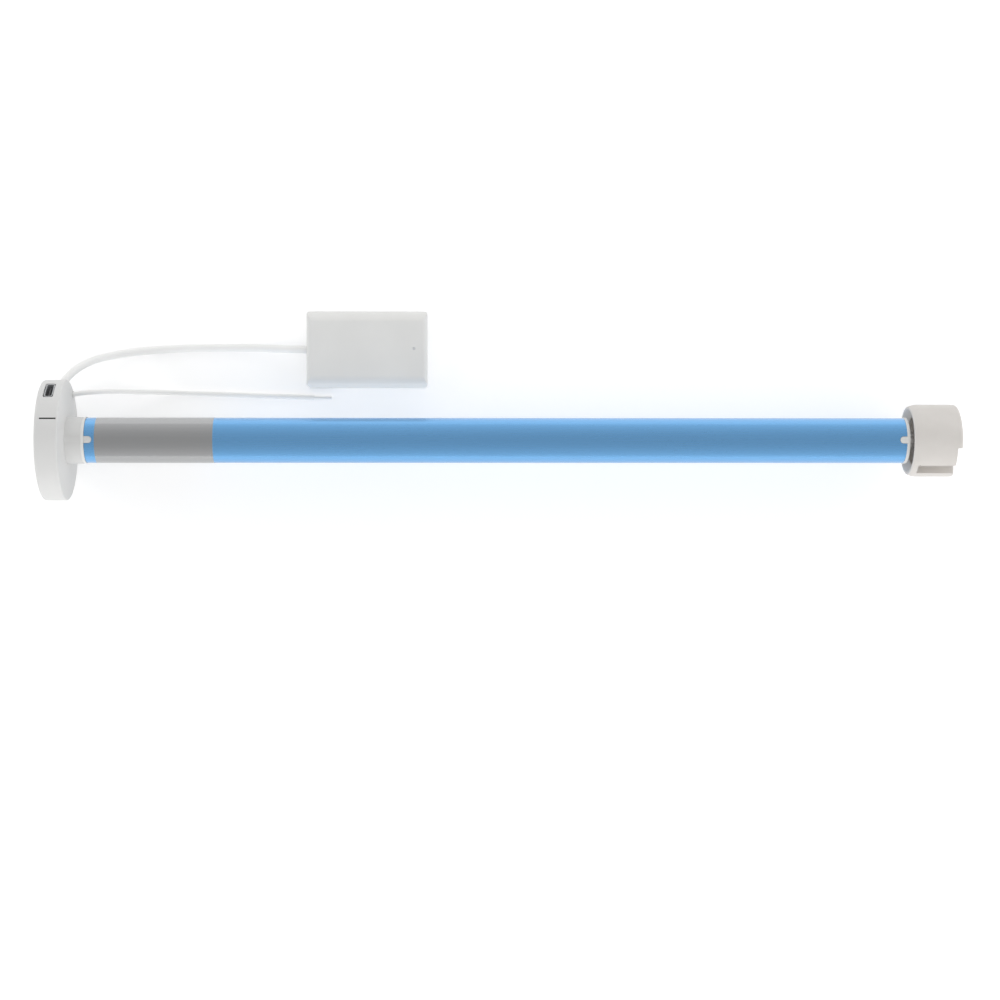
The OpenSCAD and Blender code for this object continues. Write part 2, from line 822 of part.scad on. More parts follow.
module antenna_wire() {
    color("#e4e4e4")
        cord(antenna_route, antenna_d);
}

module antenna_tip() {
    color("#efefef")
        cord(antenna_tip_route, antenna_d * antenna_tip_share);
}

module motor_tube() {
    color("#5d8fb9")
        difference() {
            pipe(tube_x0, tube_x1, tube_r, bore_r);
            tongue(tube_x0 - past, tube_x0 + head_tongue_len + tongue_gap, tongue_w + 2 * tongue_gap,
                bore_r / 2, tube_r + past);
            tongue(tube_x1 + past, tube_x1 - plug_tongue_len - tongue_gap, tongue_w + 2 * tongue_gap,
                bore_r / 2, tube_r + past);
        }
}

module rating_label() {
    color("#a9abad")
        pipe(tube_x0 + label_gap, tube_x0 + label_gap + label_len, tube_r + label_t + 0.01, tube_r + 0.01);
}

function cell_x0(i) = pack_cells_x0 + i * cell_pitch;

module battery_carrier() {
    color("#303236")
        difference() {
            rod(pack_x0, pack_x1, spigot_r);
            rod(pack_x0 + carrier_wall_t, pack_x1 - carrier_wall_t, cell_r + seat_gap);
            translate([pack_x0 + carrier_wall_t, -spigot_r, pack_open_z])
                cube([pack_x1 - pack_x0 - 2 * carrier_wall_t, 2 * spigot_r, spigot_r]);
            rod(pack_x0 - past, pack_x1 + past, cell_nub_r);
        }
}

module battery_cells() {
    color("#3c6fa0")
        for (i = [0:cell_count - 1]) {
            rounded_disc(cell_x0(i), cell_x0(i) + cell_len - cell_nub_h, cell_r, 0.6, 0.6);
            rod(cell_x0(i) + cell_len - cell_nub_h - 0.2, cell_x0(i) + cell_len, cell_nub_r);
        }
}

// Nickel tabs: one behind each cell and one on the last terminal
module battery_tabs() {
    color("#c9cbcd")
        for (i = [0:cell_count]) {
            x = i == cell_count ? cell_x0(i) - cell_pitch + cell_len : cell_x0(i) - tab_t;
            facing_x(x)
                linear_extrude(height = tab_t)
                    rounded_rect(tab_w, tab_h, tab_corner);
        }
}

module control_board() {
    color("#2f6b3c")
        translate([control_x0, -control_w / 2, -control_t / 2])
            cube([control_len, control_w, control_t]);
}

// Battery socket, driver, controller and inductor above, a capacitor, and the motor socket below
module board_components() {
    top = control_t / 2;
    color("#2a2a2c") {
        for (part = board_parts)
            translate([control_x0 + part[0] * control_len, -part[1].y / 2, top])
                cube(part[1]);
        translate([control_x0 + capacitor_place * control_len, 0, top])
            cylinder(r = capacitor_r, h = capacitor_h);
        translate([
            control_x0 + control_len - board_socket.x - board_edge, -board_socket.y / 2,
            -top - board_socket.z
        ])
            cube(board_socket);
    }
}

module rubber_damper() {
    color("#232325")
        pipe(motor_x0 - damper_back, motor_x0 + damper_grip, bore_r - damper_gap, motor_r + damper_gap);
}

module motor_can() {
    color("#b4b7ba")
        difference() {
            union() {
                rounded_disc(motor_x0, motor_x1, motor_r, 0.2, 0.8);
                rod(motor_x1 - motor_front_t, motor_x1 + nose_len, nose_r);
            }
            rod(motor_x0 - past, motor_x1 - motor_front_t, motor_r - motor_sheet);
            rod(motor_x0, motor_x1 + nose_len + past, bush_r);
        }
}

module motor_magnets() {
    magnet_x0 = motor_x0 + end_cap_t + magnet_margin;
    magnet_len = motor_len - end_cap_t - motor_front_t - 2 * magnet_margin;
    color("#4a4a4e")
        for (side = [0, 180])
            intersection() {
                pipe(magnet_x0, magnet_x0 + magnet_len, motor_r - motor_sheet - 0.02, magnet_in_r);
                facing_x(magnet_x0 - past)
                    rotate([0, 0, side])
                        linear_extrude(height = magnet_len + 2 * past)
                            sector(motor_d, magnet_angle);
            }
}

module motor_end_cap() {
    color("#1f1f21")
        difference() {
            union() {
                rod(motor_x0 - end_cap_rim_t, motor_x0, motor_r - motor_sheet / 2);
                rod(motor_x0 - end_cap_rim_t / 2, motor_x0 + end_cap_t, motor_r - motor_sheet - 0.02);
            }
            rod(motor_x0 - 2 * past, motor_x0 + end_cap_t + past, motor_shaft_r + run_gap);
            for (side = [-1, 1])
                translate([motor_x0 - 2 * past, side * terminal_place, 0])
                    facing_x()
                        linear_extrude(height = end_cap_t + 4 * past)
                            square(terminal_slot, center = true);
        }
}

module motor_bush() {
    color("#b08d57")
        pipe(motor_x1 - 1.6, motor_x1 + nose_len, bush_r - 0.02, motor_shaft_r + run_gap);
}

// Armature: shaft, slotted stack and commutator
module rotor() {
    stack_x0 = motor_x0 + end_cap_t + stack_margin;
    stack_x1 = motor_x1 - motor_front_t - stack_margin / 2;
    color("#9a6b3d") {
        rod(motor_x0 - tail_len, stage_x0[0] + planet_w[0], motor_shaft_r);
        rod(stack_x0 - commutator_len - 0.5, stack_x0, commutator_r);
        difference() {
            rod(stack_x0, stack_x1, stack_r);
            for (k = [0:stack_poles - 1])
                at_phi(k * 360 / stack_poles) {
                    translate([stack_x0 - past, -0.5, commutator_r])
                        cube([stack_x1 - stack_x0 + 2 * past, 1, stack_r]);
                    translate([0, 0, stack_r - 1.9])
                        rod(stack_x0 - past, stack_x1 + past, 1.1);
                }
        }
    }
}

module hall_magnet() {
    color("#55565a")
        pipe(motor_x0 - tail_len, motor_x0 - tail_len + hall_t, hall_r, motor_shaft_r + 0.02);
}

module motor_pinion() {
    color("#c9a24b")
        difference() {
            sun(stage_x0[0], planet_w[0]);
            rod(stage_x0[0] - past, stage_x0[0] + planet_w[0] + past, motor_shaft_r + 0.01);
        }
}

// Gearbox body: internal teeth that all three stages share, and the motor's seat
module ring_gear() {
    color("#d7d3c8")
        difference() {
            rod(gear_x0, plug_x0, gear_wall_r);
            facing_x(gear_inner_x)
                linear_extrude(height = plug_x0 - gear_inner_x + past)
                    polygon(gear_outline(ring_teeth, planet_shift, dedendum, addendum, -tooth_thinning()));
            rod(gear_x0 - past, gear_inner_x + past, nose_r + seat_gap / 2);
        }
}

// Carrier plate with its planet pins, which point back at the motor
module planet_carrier(stage, plate_x0, plate_t) {
    rod(plate_x0, plate_x0 + plate_t, carrier_r);
    each_planet()
        rod(stage_x0[stage], plate_x0 + plate_t / 2, pin_r);
}

module carrier_1() {
    color("#8f9296") {
        planet_carrier(0, carrier1_x0, carrier_t);
        sun(carrier1_x0 + carrier_t / 2, stage_x0[1] + planet_w[1] - carrier1_x0 - carrier_t / 2);
    }
}

module carrier_2() {
    color("#8f9296") {
        planet_carrier(1, carrier2_x0, carrier_t);
        sun(carrier2_x0 + carrier_t / 2, stage_x0[2] + planet_w[2] - carrier2_x0 - carrier_t / 2);
    }
}

module output_carrier() {
    color("#85888c")
        difference() {
            planet_carrier(2, output_plate_x0, output_plate_t);
            rod(output_plate_x0 - past, output_plate_x1 + past, shaft_stub_r + 0.01);
        }
}

// Planet of a stage, on its pin, with a tooth pointing straight out
module planet(stage, k) {
    color("#e9e4d4")
        translate(planet_centre(k))
            difference() {
                spur(stage_x0[stage], planet_w[stage], planet_teeth, planet_shift, planet_angle(k));
                rod(stage_x0[stage] - past, stage_x0[stage] + planet_w[stage] + past, pin_r + run_gap);
            }
}

module output_end_plug() {
    color("#e8e8e6")
        difference() {
            union() {
                rod(plug_x0, tube_x1 + plug_flange_t / 2, spigot_r);
                rounded_disc(tube_x1, plug_x1, plug_flange_d / 2, 0.2, 0.4);
                tongue(tube_x1 + plug_flange_t / 2, tube_x1 - plug_tongue_len, tongue_w,
                    spigot_r / 2, tube_r);
            }
            rod(plug_x0 - past, plug_x1 + past, bearing_d / 2 + seat_gap / 2);
            rod(plug_x0 - past, plug_x0 + bearing_flange_t + seat_gap, bearing_flange_d / 2 + seat_gap);
        }
}

module output_bearing() {
    color("#a98a58")
        difference() {
            union() {
                rod(plug_x0 + seat_gap / 2, plug_x1 - 0.4, bearing_d / 2);
                rod(plug_x0 + seat_gap / 2, plug_x0 + bearing_flange_t, bearing_flange_d / 2);
            }
            rod(plug_x0 - past, plug_x1 + past, shaft_r + run_gap);
        }
}

// Cross-section of the splined shaft, grown for the bore that it fits
module spline_section(grow) {
    tooth_w = PI * (shaft_r - spline_depth / 2) / spline_count;
    circle(r = shaft_r - spline_depth + grow);
    intersection() {
        circle(r = shaft_r + grow);
        for (k = [0:spline_count - 1])
            rotate([0, 0, k * 360 / spline_count])
                translate([0, -tooth_w / 2 - grow])
                    square([shaft_d, tooth_w + 2 * grow]);
    }
}

module output_shaft() {
    color("#c3c6c9")
        difference() {
            union() {
                rod(output_plate_x0 + 0.2, output_plate_x1 + end_float, shaft_stub_r);
                rod(output_plate_x1, spline_x0, shaft_r);
                facing_x(spline_x0)
                    linear_extrude(height = hub_x1 - 0.2 - spline_x0)
                        spline_section(0);
            }
            rod(hub_x1 - wheel_screw_len - past, hub_x1 + past, wheel_screw_d / 2 + run_gap);
        }
}

module drive_wheel() {
    color("#cfcbc7")
        difference() {
            wheel_body();
            wheel_mouth();
            rod(wheel_x0 - past, hub_x0, wheel_open_d / 2);
            difference() {
                rod(web_x1, wheel_x1 + past, wheel_recess_d / 2);
                rod(web_x1 - past, hub_x1, wheel_hub_d / 2);
            }
            facing_x(hub_x0 - past)
                linear_extrude(height = hub_x1 - hub_x0 + 2 * past)
                    spline_section(seat_gap);
            for (side = [0, 180])
                at_phi(key_phi + side) {
                    translate([wheel_x0 + key_stop, -key_w / 2, wheel_r - key_depth])
                        cube([wheel_len - key_stop + past, key_w, key_depth + past]);
                    facing_x(wheel_x1 - lip_len)
                        rotate([0, 0, 90])
                            linear_extrude(height = lip_len + past)
                                sector(wheel_r + past, lip_angle);
                }
        }
}

// Dished mouth of the drive wheel, a cone down to the bore behind it
module wheel_mouth() {
    mouth_r = wheel_mouth_d / 2;
    slope = (mouth_r - wheel_open_d / 2) / wheel_mouth_depth;
    facing_x(wheel_x0 - past)
        cylinder(r1 = mouth_r + slope * past, r2 = mouth_r - slope * (wheel_mouth_depth + past),
            h = wheel_mouth_depth + 2 * past);
}

// Outer form of the drive wheel: an arc as lead-in on the tube's side and a round at the outer face
module wheel_body() {
    arc_r = (pow(wheel_lead_in, 2) + pow(wheel_lead_drop, 2)) / (2 * wheel_lead_drop);
    facing_x()
        rotate_extrude()
            union() {
                translate([0, wheel_x0])
                    square([wheel_r - arc_r, wheel_lead_in]);
                translate([wheel_r - arc_r, wheel_x0 + wheel_lead_in])
                    intersection() {
                        circle(r = arc_r);
                        translate([0, -wheel_lead_in])
                            square([arc_r, wheel_lead_in]);
                    }
                translate([0, wheel_x0 + wheel_lead_in])
                    square([wheel_r, wheel_len - wheel_lead_in - wheel_end_round]);
                translate([0, wheel_x1 - wheel_end_round])
                    square([wheel_r - wheel_end_round, wheel_end_round]);
                translate([wheel_r - wheel_end_round, wheel_x1 - wheel_end_round])
                    intersection() {
                        circle(r = wheel_end_round);
                        square(wheel_end_round);
                    }
            }
}

module wheel_screw() {
    color("#9a9da0") {
        rounded_disc(hub_x1 + 0.02, hub_x1 + wheel_screw_head_t, wheel_screw_head_d / 2, 0.1, 0.8);
        rod(hub_x1 - wheel_screw_len, hub_x1 + wheel_screw_head_t / 2, wheel_screw_d / 2);
    }
}

// Outer form of the module's box, shrunk by inset on every side
module module_form(inset) {
    w = module_w - 2 * inset;
    h = module_h - 2 * inset;
    l = module_len - 2 * inset;
    side_r = max(module_side_round - inset, 0.4);
    end_r = max(module_end_round - inset, 0.4);
    corner_r = max(module_corner_round - inset, 0.4);
    foot_r = max(module_foot_round - inset, 0.2);
    translate([module_x0 + module_len / 2, lead_end.y, floor_z + module_h / 2])
        intersection() {
            translate([-l / 2, 0, 0])
                facing_x()
                    linear_extrude(height = l)
                        crowned_rect(w, h, side_r, foot_r);
            translate([0, w / 2, 0])
                rotate([90, 0, 0])
                    linear_extrude(height = w)
                        crowned_rect(l, h, end_r, foot_r);
            translate([0, 0, -h / 2])
                linear_extrude(height = h)
                    rounded_rect(l, w, corner_r);
        }
}

// Rectangle about the origin with large rounds on top and small ones at the foot
module crowned_rect(w, h, top_r, foot_r) {
    translate([-w / 2, foot_r - h / 2])
        square([w, h - foot_r - top_r]);
    translate([top_r - w / 2, 0])
        square([w - 2 * top_r, h / 2]);
    translate([foot_r - w / 2, -h / 2])
        square([w - 2 * foot_r, h / 2]);
    for (side = [-1, 1]) {
        translate([side * (w / 2 - top_r), h / 2 - top_r])
            circle(r = top_r);
        translate([side * (w / 2 - foot_r), foot_r - h / 2])
            circle(r = foot_r);
    }
}

// Slab that keeps what lies between two heights over the whole module
module module_slab(z0, z1) {
    translate([module_x0 - past, module_y0 - past, z0])
        cube([module_len + 2 * past, module_w + 2 * past, z1 - z0]);
}

module module_top_shell() {
    color("#e0e0e0")
        difference() {
            intersection() {
                module_form(0);
                module_slab(module_split_z, module_z1 + past);
            }
            intersection() {
                module_form(module_wall);
                module_slab(module_split_z - past, module_z1 + past);
            }
            intersection() {
                module_form(module_wall - seat_gap);
                module_slab(module_split_z - past, module_split_z + module_lip_h + seat_gap);
            }
            translate([module_light_x, lead_end.y, module_z1 - module_wall - past])
                cylinder(r = module_light_d / 2 + seat_gap / 2, h = module_wall + 2 * past);
            translate([0, lead_end.y, lead_end.z])
                rod(module_x0 - past, module_x0 + module_wall + past, lead_hole_r);
        }
}

module module_base() {
    color("#dcdcdc")
        difference() {
            union() {
                intersection() {
                    module_form(0);
                    module_slab(floor_z - past, module_split_z);
                }
                intersection() {
                    module_form(module_wall);
                    module_slab(floor_z + module_wall, module_split_z + module_lip_h);
                }
            }
            intersection() {
                module_form(module_wall + module_lip_t);
                module_slab(floor_z + module_wall, module_z1);
            }
            translate([0, lead_end.y, lead_end.z])
                rod(module_x0 - past, module_x0 + module_wall + module_lip_t + past, lead_hole_r);
        }
}

// Board that rests on the base's lip
module module_board() {
    inset = module_wall + module_board_gap;
    color("#2f6b3c")
        translate([module_x0 + inset, module_y0 + inset, module_board_z1 - module_board_t])
            cube([module_len - 2 * inset, module_w - 2 * inset, module_board_t]);
}

// Radio can, lead socket and light source
module module_components() {
    top = module_board_z1;
    color("#9b9ea2") {
        translate([module_x0 + radio_place, lead_end.y - radio_can.y / 2, top])
            cube(radio_can);
        translate([module_x0 + lead_socket_place, lead_end.y - lead_socket.y / 2, top])
            cube(lead_socket);
        translate([module_light_x - light_source.x / 2, lead_end.y - light_source.y / 2, top])
            cube([light_source.x, light_source.y, module_led_h]);
    }
}

module module_light_guide() {
    guide_z0 = module_board_z1 + module_led_h + seat_gap;
    color("#f2f2f2")
        translate([module_light_x, lead_end.y, guide_z0])
            cylinder(r = module_light_d / 2, h = module_z1 - 0.1 - guide_z0);
}

module module_grommet() {
    color("#d6d6d6")
        translate([0, lead_end.y, lead_end.z])
            pipe(module_x0, module_x0 + module_wall + module_lip_t, lead_hole_r - seat_gap / 2,
                lead_d / 2 + run_gap);
}

head_housing();
head_cover();
cover_screws();
charge_port_shell();
charge_port_tongue();
head_board();
tact_switch();
set_button();
indicator_lens();
lead_grommet();
antenna_grommet();
module_lead();
antenna_wire();
antenna_tip();
motor_tube();
rating_label();
battery_carrier();
battery_cells();
battery_tabs();
control_board();
board_components();
rubber_damper();
motor_can();
motor_magnets();
motor_end_cap();
motor_bush();
rotor();
hall_magnet();
motor_pinion();
ring_gear();
carrier_1();
carrier_2();
output_carrier();
for (stage = [0:stage_count - 1], k = [0:planet_count - 1])
    planet(stage, k);
output_end_plug();
output_bearing();
output_shaft();
drive_wheel();
wheel_screw();
module_top_shell();
module_base();
module_board();
module_components();
module_light_guide();
module_grommet();
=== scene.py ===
"""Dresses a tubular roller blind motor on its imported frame: finishes, fine meshes, cords and studio."""

from __future__ import annotations

import logging
import math
from dataclasses import dataclass
from enum import Enum

import bmesh
import bpy
from mathutils import Matrix, Vector

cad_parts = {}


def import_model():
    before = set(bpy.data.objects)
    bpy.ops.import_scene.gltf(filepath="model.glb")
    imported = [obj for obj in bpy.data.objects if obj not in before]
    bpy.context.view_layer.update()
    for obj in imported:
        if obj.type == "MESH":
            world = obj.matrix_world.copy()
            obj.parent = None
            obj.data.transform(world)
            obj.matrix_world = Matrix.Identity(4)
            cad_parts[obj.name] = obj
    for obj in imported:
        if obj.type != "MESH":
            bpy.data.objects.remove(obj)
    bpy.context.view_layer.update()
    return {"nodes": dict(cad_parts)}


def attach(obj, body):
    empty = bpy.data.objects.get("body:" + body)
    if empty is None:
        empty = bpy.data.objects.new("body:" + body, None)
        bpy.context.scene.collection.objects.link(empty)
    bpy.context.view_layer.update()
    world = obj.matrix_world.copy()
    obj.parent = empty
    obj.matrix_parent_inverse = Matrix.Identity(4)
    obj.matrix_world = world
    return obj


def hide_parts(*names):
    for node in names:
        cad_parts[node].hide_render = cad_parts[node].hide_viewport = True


LOG = logging.getLogger("roller_blind_motor")
MM = 0.001
# Points closer than this many metres are one, and faces within this angle in degrees are one face.
WELD = 1e-6
FLAT_ANGLE = 0.5
# Angle in degrees from which an edge between turned or cut faces is drawn sharp.
SHARP_ANGLE = 24.0
Point = tuple[float, float, float]


class Body(str, Enum):
    """Moving bodies of the frame that carry dressed pieces."""

    MOTOR = "motor_body"
    OUTPUT = "output_drive"


class Slot(str, Enum):
    """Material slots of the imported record."""

    WHITE_ABS = "white_abs"
    # Painted light: the white ABS painted lighter than the head's own.
    PAINTED_LIGHT_ABS = "bright_abs"
    COVER_ABS = "cover_abs"
    SCREW_STEEL = "screw_steel"
    PORT_STEEL = "port_steel"
    BLACK_PLASTIC = "black_plastic"
    CIRCUIT_BOARD = "circuit_board"
    SMOKED_LENS = "smoked_lens"
    PALE_RUBBER = "pale_rubber"
    LEAD_PVC = "lead_pvc"
    BLUE_ANODISED = "blue_anodised"
    SILVER_LABEL = "silver_label"
    CELL_WRAP = "cell_wrap"
    NICKEL = "nickel"
    DARK_RUBBER = "dark_rubber"
    CAN_STEEL = "can_steel"
    MAGNET = "magnet"
    SINTERED_BRONZE = "sintered_bronze"
    ARMATURE = "armature"
    GEAR_BRASS = "gear_brass"
    GEAR_RESIN = "gear_resin"
    GEAR_STEEL = "gear_steel"
    SHAFT_STEEL = "shaft_steel"
    WHEEL_RESIN = "wheel_resin"
    LIGHT_GUIDE = "light_guide"


class Lines(Enum):
    """Direction that a metal's working marks run in."""

    ALONG_TUBE = (0.01, 1.0, 1.0)
    ROUND_AXIS = (1.0, 0.02, 0.02)
    NONE = (1.0, 1.0, 1.0)


def linear(code: str) -> tuple[float, float, float, float]:
    """Turns an sRGB hex colour into linear light.

    Args:
        code: Colour as #rrggbb.

    Returns:
        Red, green, blue and an alpha of 1.
    """
    parts = [int(code[i : i + 2], 16) / 255 for i in (1, 3, 5)]
    lit = [c / 12.92 if c <= 0.04045 else ((c + 0.055) / 1.055) ** 2.4 for c in parts]
    return (lit[0], lit[1], lit[2], 1.0)


def per_mm(size: float) -> float:
    """Gives the texture scale at which one step of a pattern is size millimetres."""
    return 1 / (size * MM)


def add_node(
    tree: bpy.types.NodeTree,
    kind: str,
    settings: dict[str | int, object] | None = None,
    links: dict[str | int, bpy.types.NodeSocket] | None = None,
) -> bpy.types.Node:
    """Adds one node, sets its properties and sockets, and links its inputs.

    Args:
        tree: Tree that takes the node.
        kind: Blender's type name of the node.
        settings: Values by socket name or number, or by property name.
        links: Sockets that feed the node, by the name or number of its input.

    Returns:
        The new node.
    """
    node = tree.nodes.new(kind)
    for key, value in (settings or {}).items():
        if isinstance(key, int) or key in node.inputs:
            node.inputs[key].default_value = value
        else:
            setattr(node, key, value)
    for key, socket in (links or {}).items():
        tree.links.new(socket, node.inputs[key])
    return node


@dataclass(frozen=True)
class Finish:
    """A surface finish: even colour with a slow drift, fine grit and a matching gloss.

    The drift is what keeps a moulded or coated face from looking like one flat colour, and
    the grit breaks up its highlight.
    """

    name: str
    colour: str
    drift_colour: str
    roughness: float
    gloss_drift: float = 0.06
    drift_mm: float = 14.0
    grit_mm: float = 0.5
    grit_height: float = 0.006
    metallic: float = 0.0
    ior: float = 1.5
    coat: float = 0.0
    coat_roughness: float = 0.1
    sheen: float = 0.0
    transmission: float = 0.0
    edge_mm: float = 0.0
    lines: Lines = Lines.NONE

    def material(self) -> bpy.types.Material:
        """Builds the finish as a node material.

        Returns:
            The new material.
        """
        made = bpy.data.materials.new(self.name)
        made.use_nodes = True
        tree = made.node_tree
        tree.nodes.clear()
        shader = add_node(
            tree,
            "ShaderNodeBsdfPrincipled",
            {
                "Metallic": self.metallic,
                "IOR": self.ior,
                "Coat Weight": self.coat,
                "Coat Roughness": self.coat_roughness,
                "Sheen Weight": self.sheen,
                "Transmission Weight": self.transmission,
            },
        )
        add_node(tree, "ShaderNodeOutputMaterial", links={"Surface": shader.outputs[0]})
        self.paint(tree, shader)
        return made

    def place(self, tree: bpy.types.NodeTree) -> bpy.types.NodeSocket:
        """Gives the object's own coordinates in metres, drawn out along the working marks.

        Args:
            tree: The material's tree.

        Returns:
            Socket that feeds a pattern.
        """
        here = add_node(tree, "ShaderNodeTexCoord")
        spread = add_node(
            tree, "ShaderNodeMapping", {"Scale": self.lines.value}, {"Vector": here.outputs["Object"]}
        )
        return spread.outputs[0]

    def paint(self, tree: bpy.types.NodeTree, shader: bpy.types.Node) -> None:
        """Adds the colour, gloss and relief that make this finish.

        Args:
            tree: The material's tree.
            shader: Its surface shader.
        """
        spot = self.place(tree)
        drift = add_node(
            tree,
            "ShaderNodeTexNoise",
            {"Scale": per_mm(self.drift_mm), "Detail": 3.0, "Roughness": 0.55},
            {"Vector": spot},
        )
        self.colour_from(tree, shader, drift.outputs[0])
        grit = add_node(
            tree,
            "ShaderNodeTexNoise",
            {"Scale": per_mm(self.grit_mm), "Detail": 2.0, "Roughness": 0.5},
            {"Vector": spot},
        )
        self.relief_from(tree, shader, grit.outputs[0])

    def colour_from(
        self, tree: bpy.types.NodeTree, shader: bpy.types.Node, share: bpy.types.NodeSocket
    ) -> None:
        """Blends the two colours and the gloss by a pattern.

        Args:
            tree: The material's tree.
            shader: Its surface shader.
            share: Pattern from 0 to 1.
        """
        blend = add_node(
            tree,
            "ShaderNodeMix",
            {"data_type": "RGBA", 6: linear(self.colour), 7: linear(self.drift_colour)},
            {0: share},
        )
        tree.links.new(blend.outputs[2], shader.inputs["Base Color"])
        gloss = add_node(
            tree,
            "ShaderNodeMapRange",
            {"To Min": self.roughness - self.gloss_drift, "To Max": self.roughness + self.gloss_drift},
            {"Value": share},
        )
        tree.links.new(gloss.outputs[0], shader.inputs["Roughness"])

    def relief_from(
        self, tree: bpy.types.NodeTree, shader: bpy.types.Node, height: bpy.types.NodeSocket
    ) -> None:
        """Turns a pattern into relief of this finish's own height.

        Args:
            tree: The material's tree.
            shader: Its surface shader.
            height: Pattern from 0 to 1.
        """
        relief = add_node(
            tree,
            "ShaderNodeBump",
            {"Strength": 1.0, "Distance": self.grit_height * MM},
            {"Height": height},
        )
        if self.edge_mm:
            edge = add_node(tree, "ShaderNodeBevel", {"samples": 4, "Radius": self.edge_mm * MM})
            tree.links.new(edge.outputs[0], relief.inputs["Normal"])
        tree.links.new(relief.outputs[0], shader.inputs["Normal"])


@dataclass(frozen=True)
class TurnedMetal(Finish):
    """Metal with the marks of its making, which stretch the highlight across them."""

    mark_mm: float = 0.3
    mark_height: float = 0.004

    def paint(self, tree: bpy.types.NodeTree, shader: bpy.types.Node) -> None:
        """Adds long fine marks over a slow drift of tone.

        Args:
            tree: The material's tree.
            shader: Its surface shader.
        """
        spot = self.place(tree)
        marks = add_node(
            tree,
            "ShaderNodeTexNoise",
            {"Scale": per_mm(self.mark_mm), "Detail": 4.0, "Roughness": 0.6},
            {"Vector": spot},
        )
        self.colour_from(tree, shader, marks.outputs[0])
        relief = add_node(
            tree,
            "ShaderNodeBump",
            {"Strength": 1.0, "Distance": self.mark_height * MM},
            {"Height": marks.outputs[0]},
        )
        tree.links.new(relief.outputs[0], shader.inputs["Normal"])


@dataclass(frozen=True)
class SolderMask(Finish):
    """Glossy resist over copper: paler tracks and round lands show through the green."""

    track_mm: float = 1.6
    row_height: float = 0.25
    track_share: float = 0.05
    land_mm: float = 3.2
    land_share: float = 0.16
    land_scatter: float = 0.35

    def paint(self, tree: bpy.types.NodeTree, shader: bpy.types.Node) -> None:
        """Adds tracks and lands under the resist.

        Args:
            tree: The material's tree.
            shader: Its surface shader.
        """
        spot = self.place(tree)
        tracks = add_node(
            tree,
            "ShaderNodeTexBrick",
            {
                "Color1": (0.0, 0.0, 0.0, 1.0),
                "Color2": (0.0, 0.0, 0.0, 1.0),
                "Mortar": (1.0, 1.0, 1.0, 1.0),
                "Scale": per_mm(self.track_mm) * self.row_height,
                "Mortar Size": self.track_share,
            },
            {"Vector": spot},
        )
        lands = add_node(
            tree,
            "ShaderNodeTexVoronoi",
            {"Scale": per_mm(self.land_mm), "Randomness": self.land_scatter},
            {"Vector": spot},
        )
        round_land = add_node(
            tree,
            "ShaderNodeMath",
            {"operation": "LESS_THAN", 1: self.land_share},
            {0: lands.outputs[0]},
        )
        copper = add_node(
            tree,
            "ShaderNodeMath",
            {"operation": "MAXIMUM"},
            {0: tracks.outputs[0], 1: round_land.outputs[0]},
        )
        self.colour_from(tree, shader, copper.outputs[0])
        self.relief_from(tree, shader, copper.outputs[0])


@dataclass(frozen=True)
class WoundCopper(Finish):
    """Laminated steel with enamelled windings: thin bands that run round the axis.

    A light and a dark sheet make one wave of the pattern.
    """

    sheet_mm: float = 0.5

    def paint(self, tree: bpy.types.NodeTree, shader: bpy.types.Node) -> None:
        """Adds the bands of the stacked sheets.

        Args:
            tree: The material's tree.
            shader: Its surface shader.
        """
        spot = self.place(tree)
        sheets = add_node(
            tree,
            "ShaderNodeTexWave",
            {"bands_direction": "X", "Scale": per_mm(self.sheet_mm) / math.tau, "Distortion": 0.0},
            {"Vector": spot},
        )
        self.colour_from(tree, shader, sheets.outputs[1])
        self.relief_from(tree, shader, sheets.outputs[1])


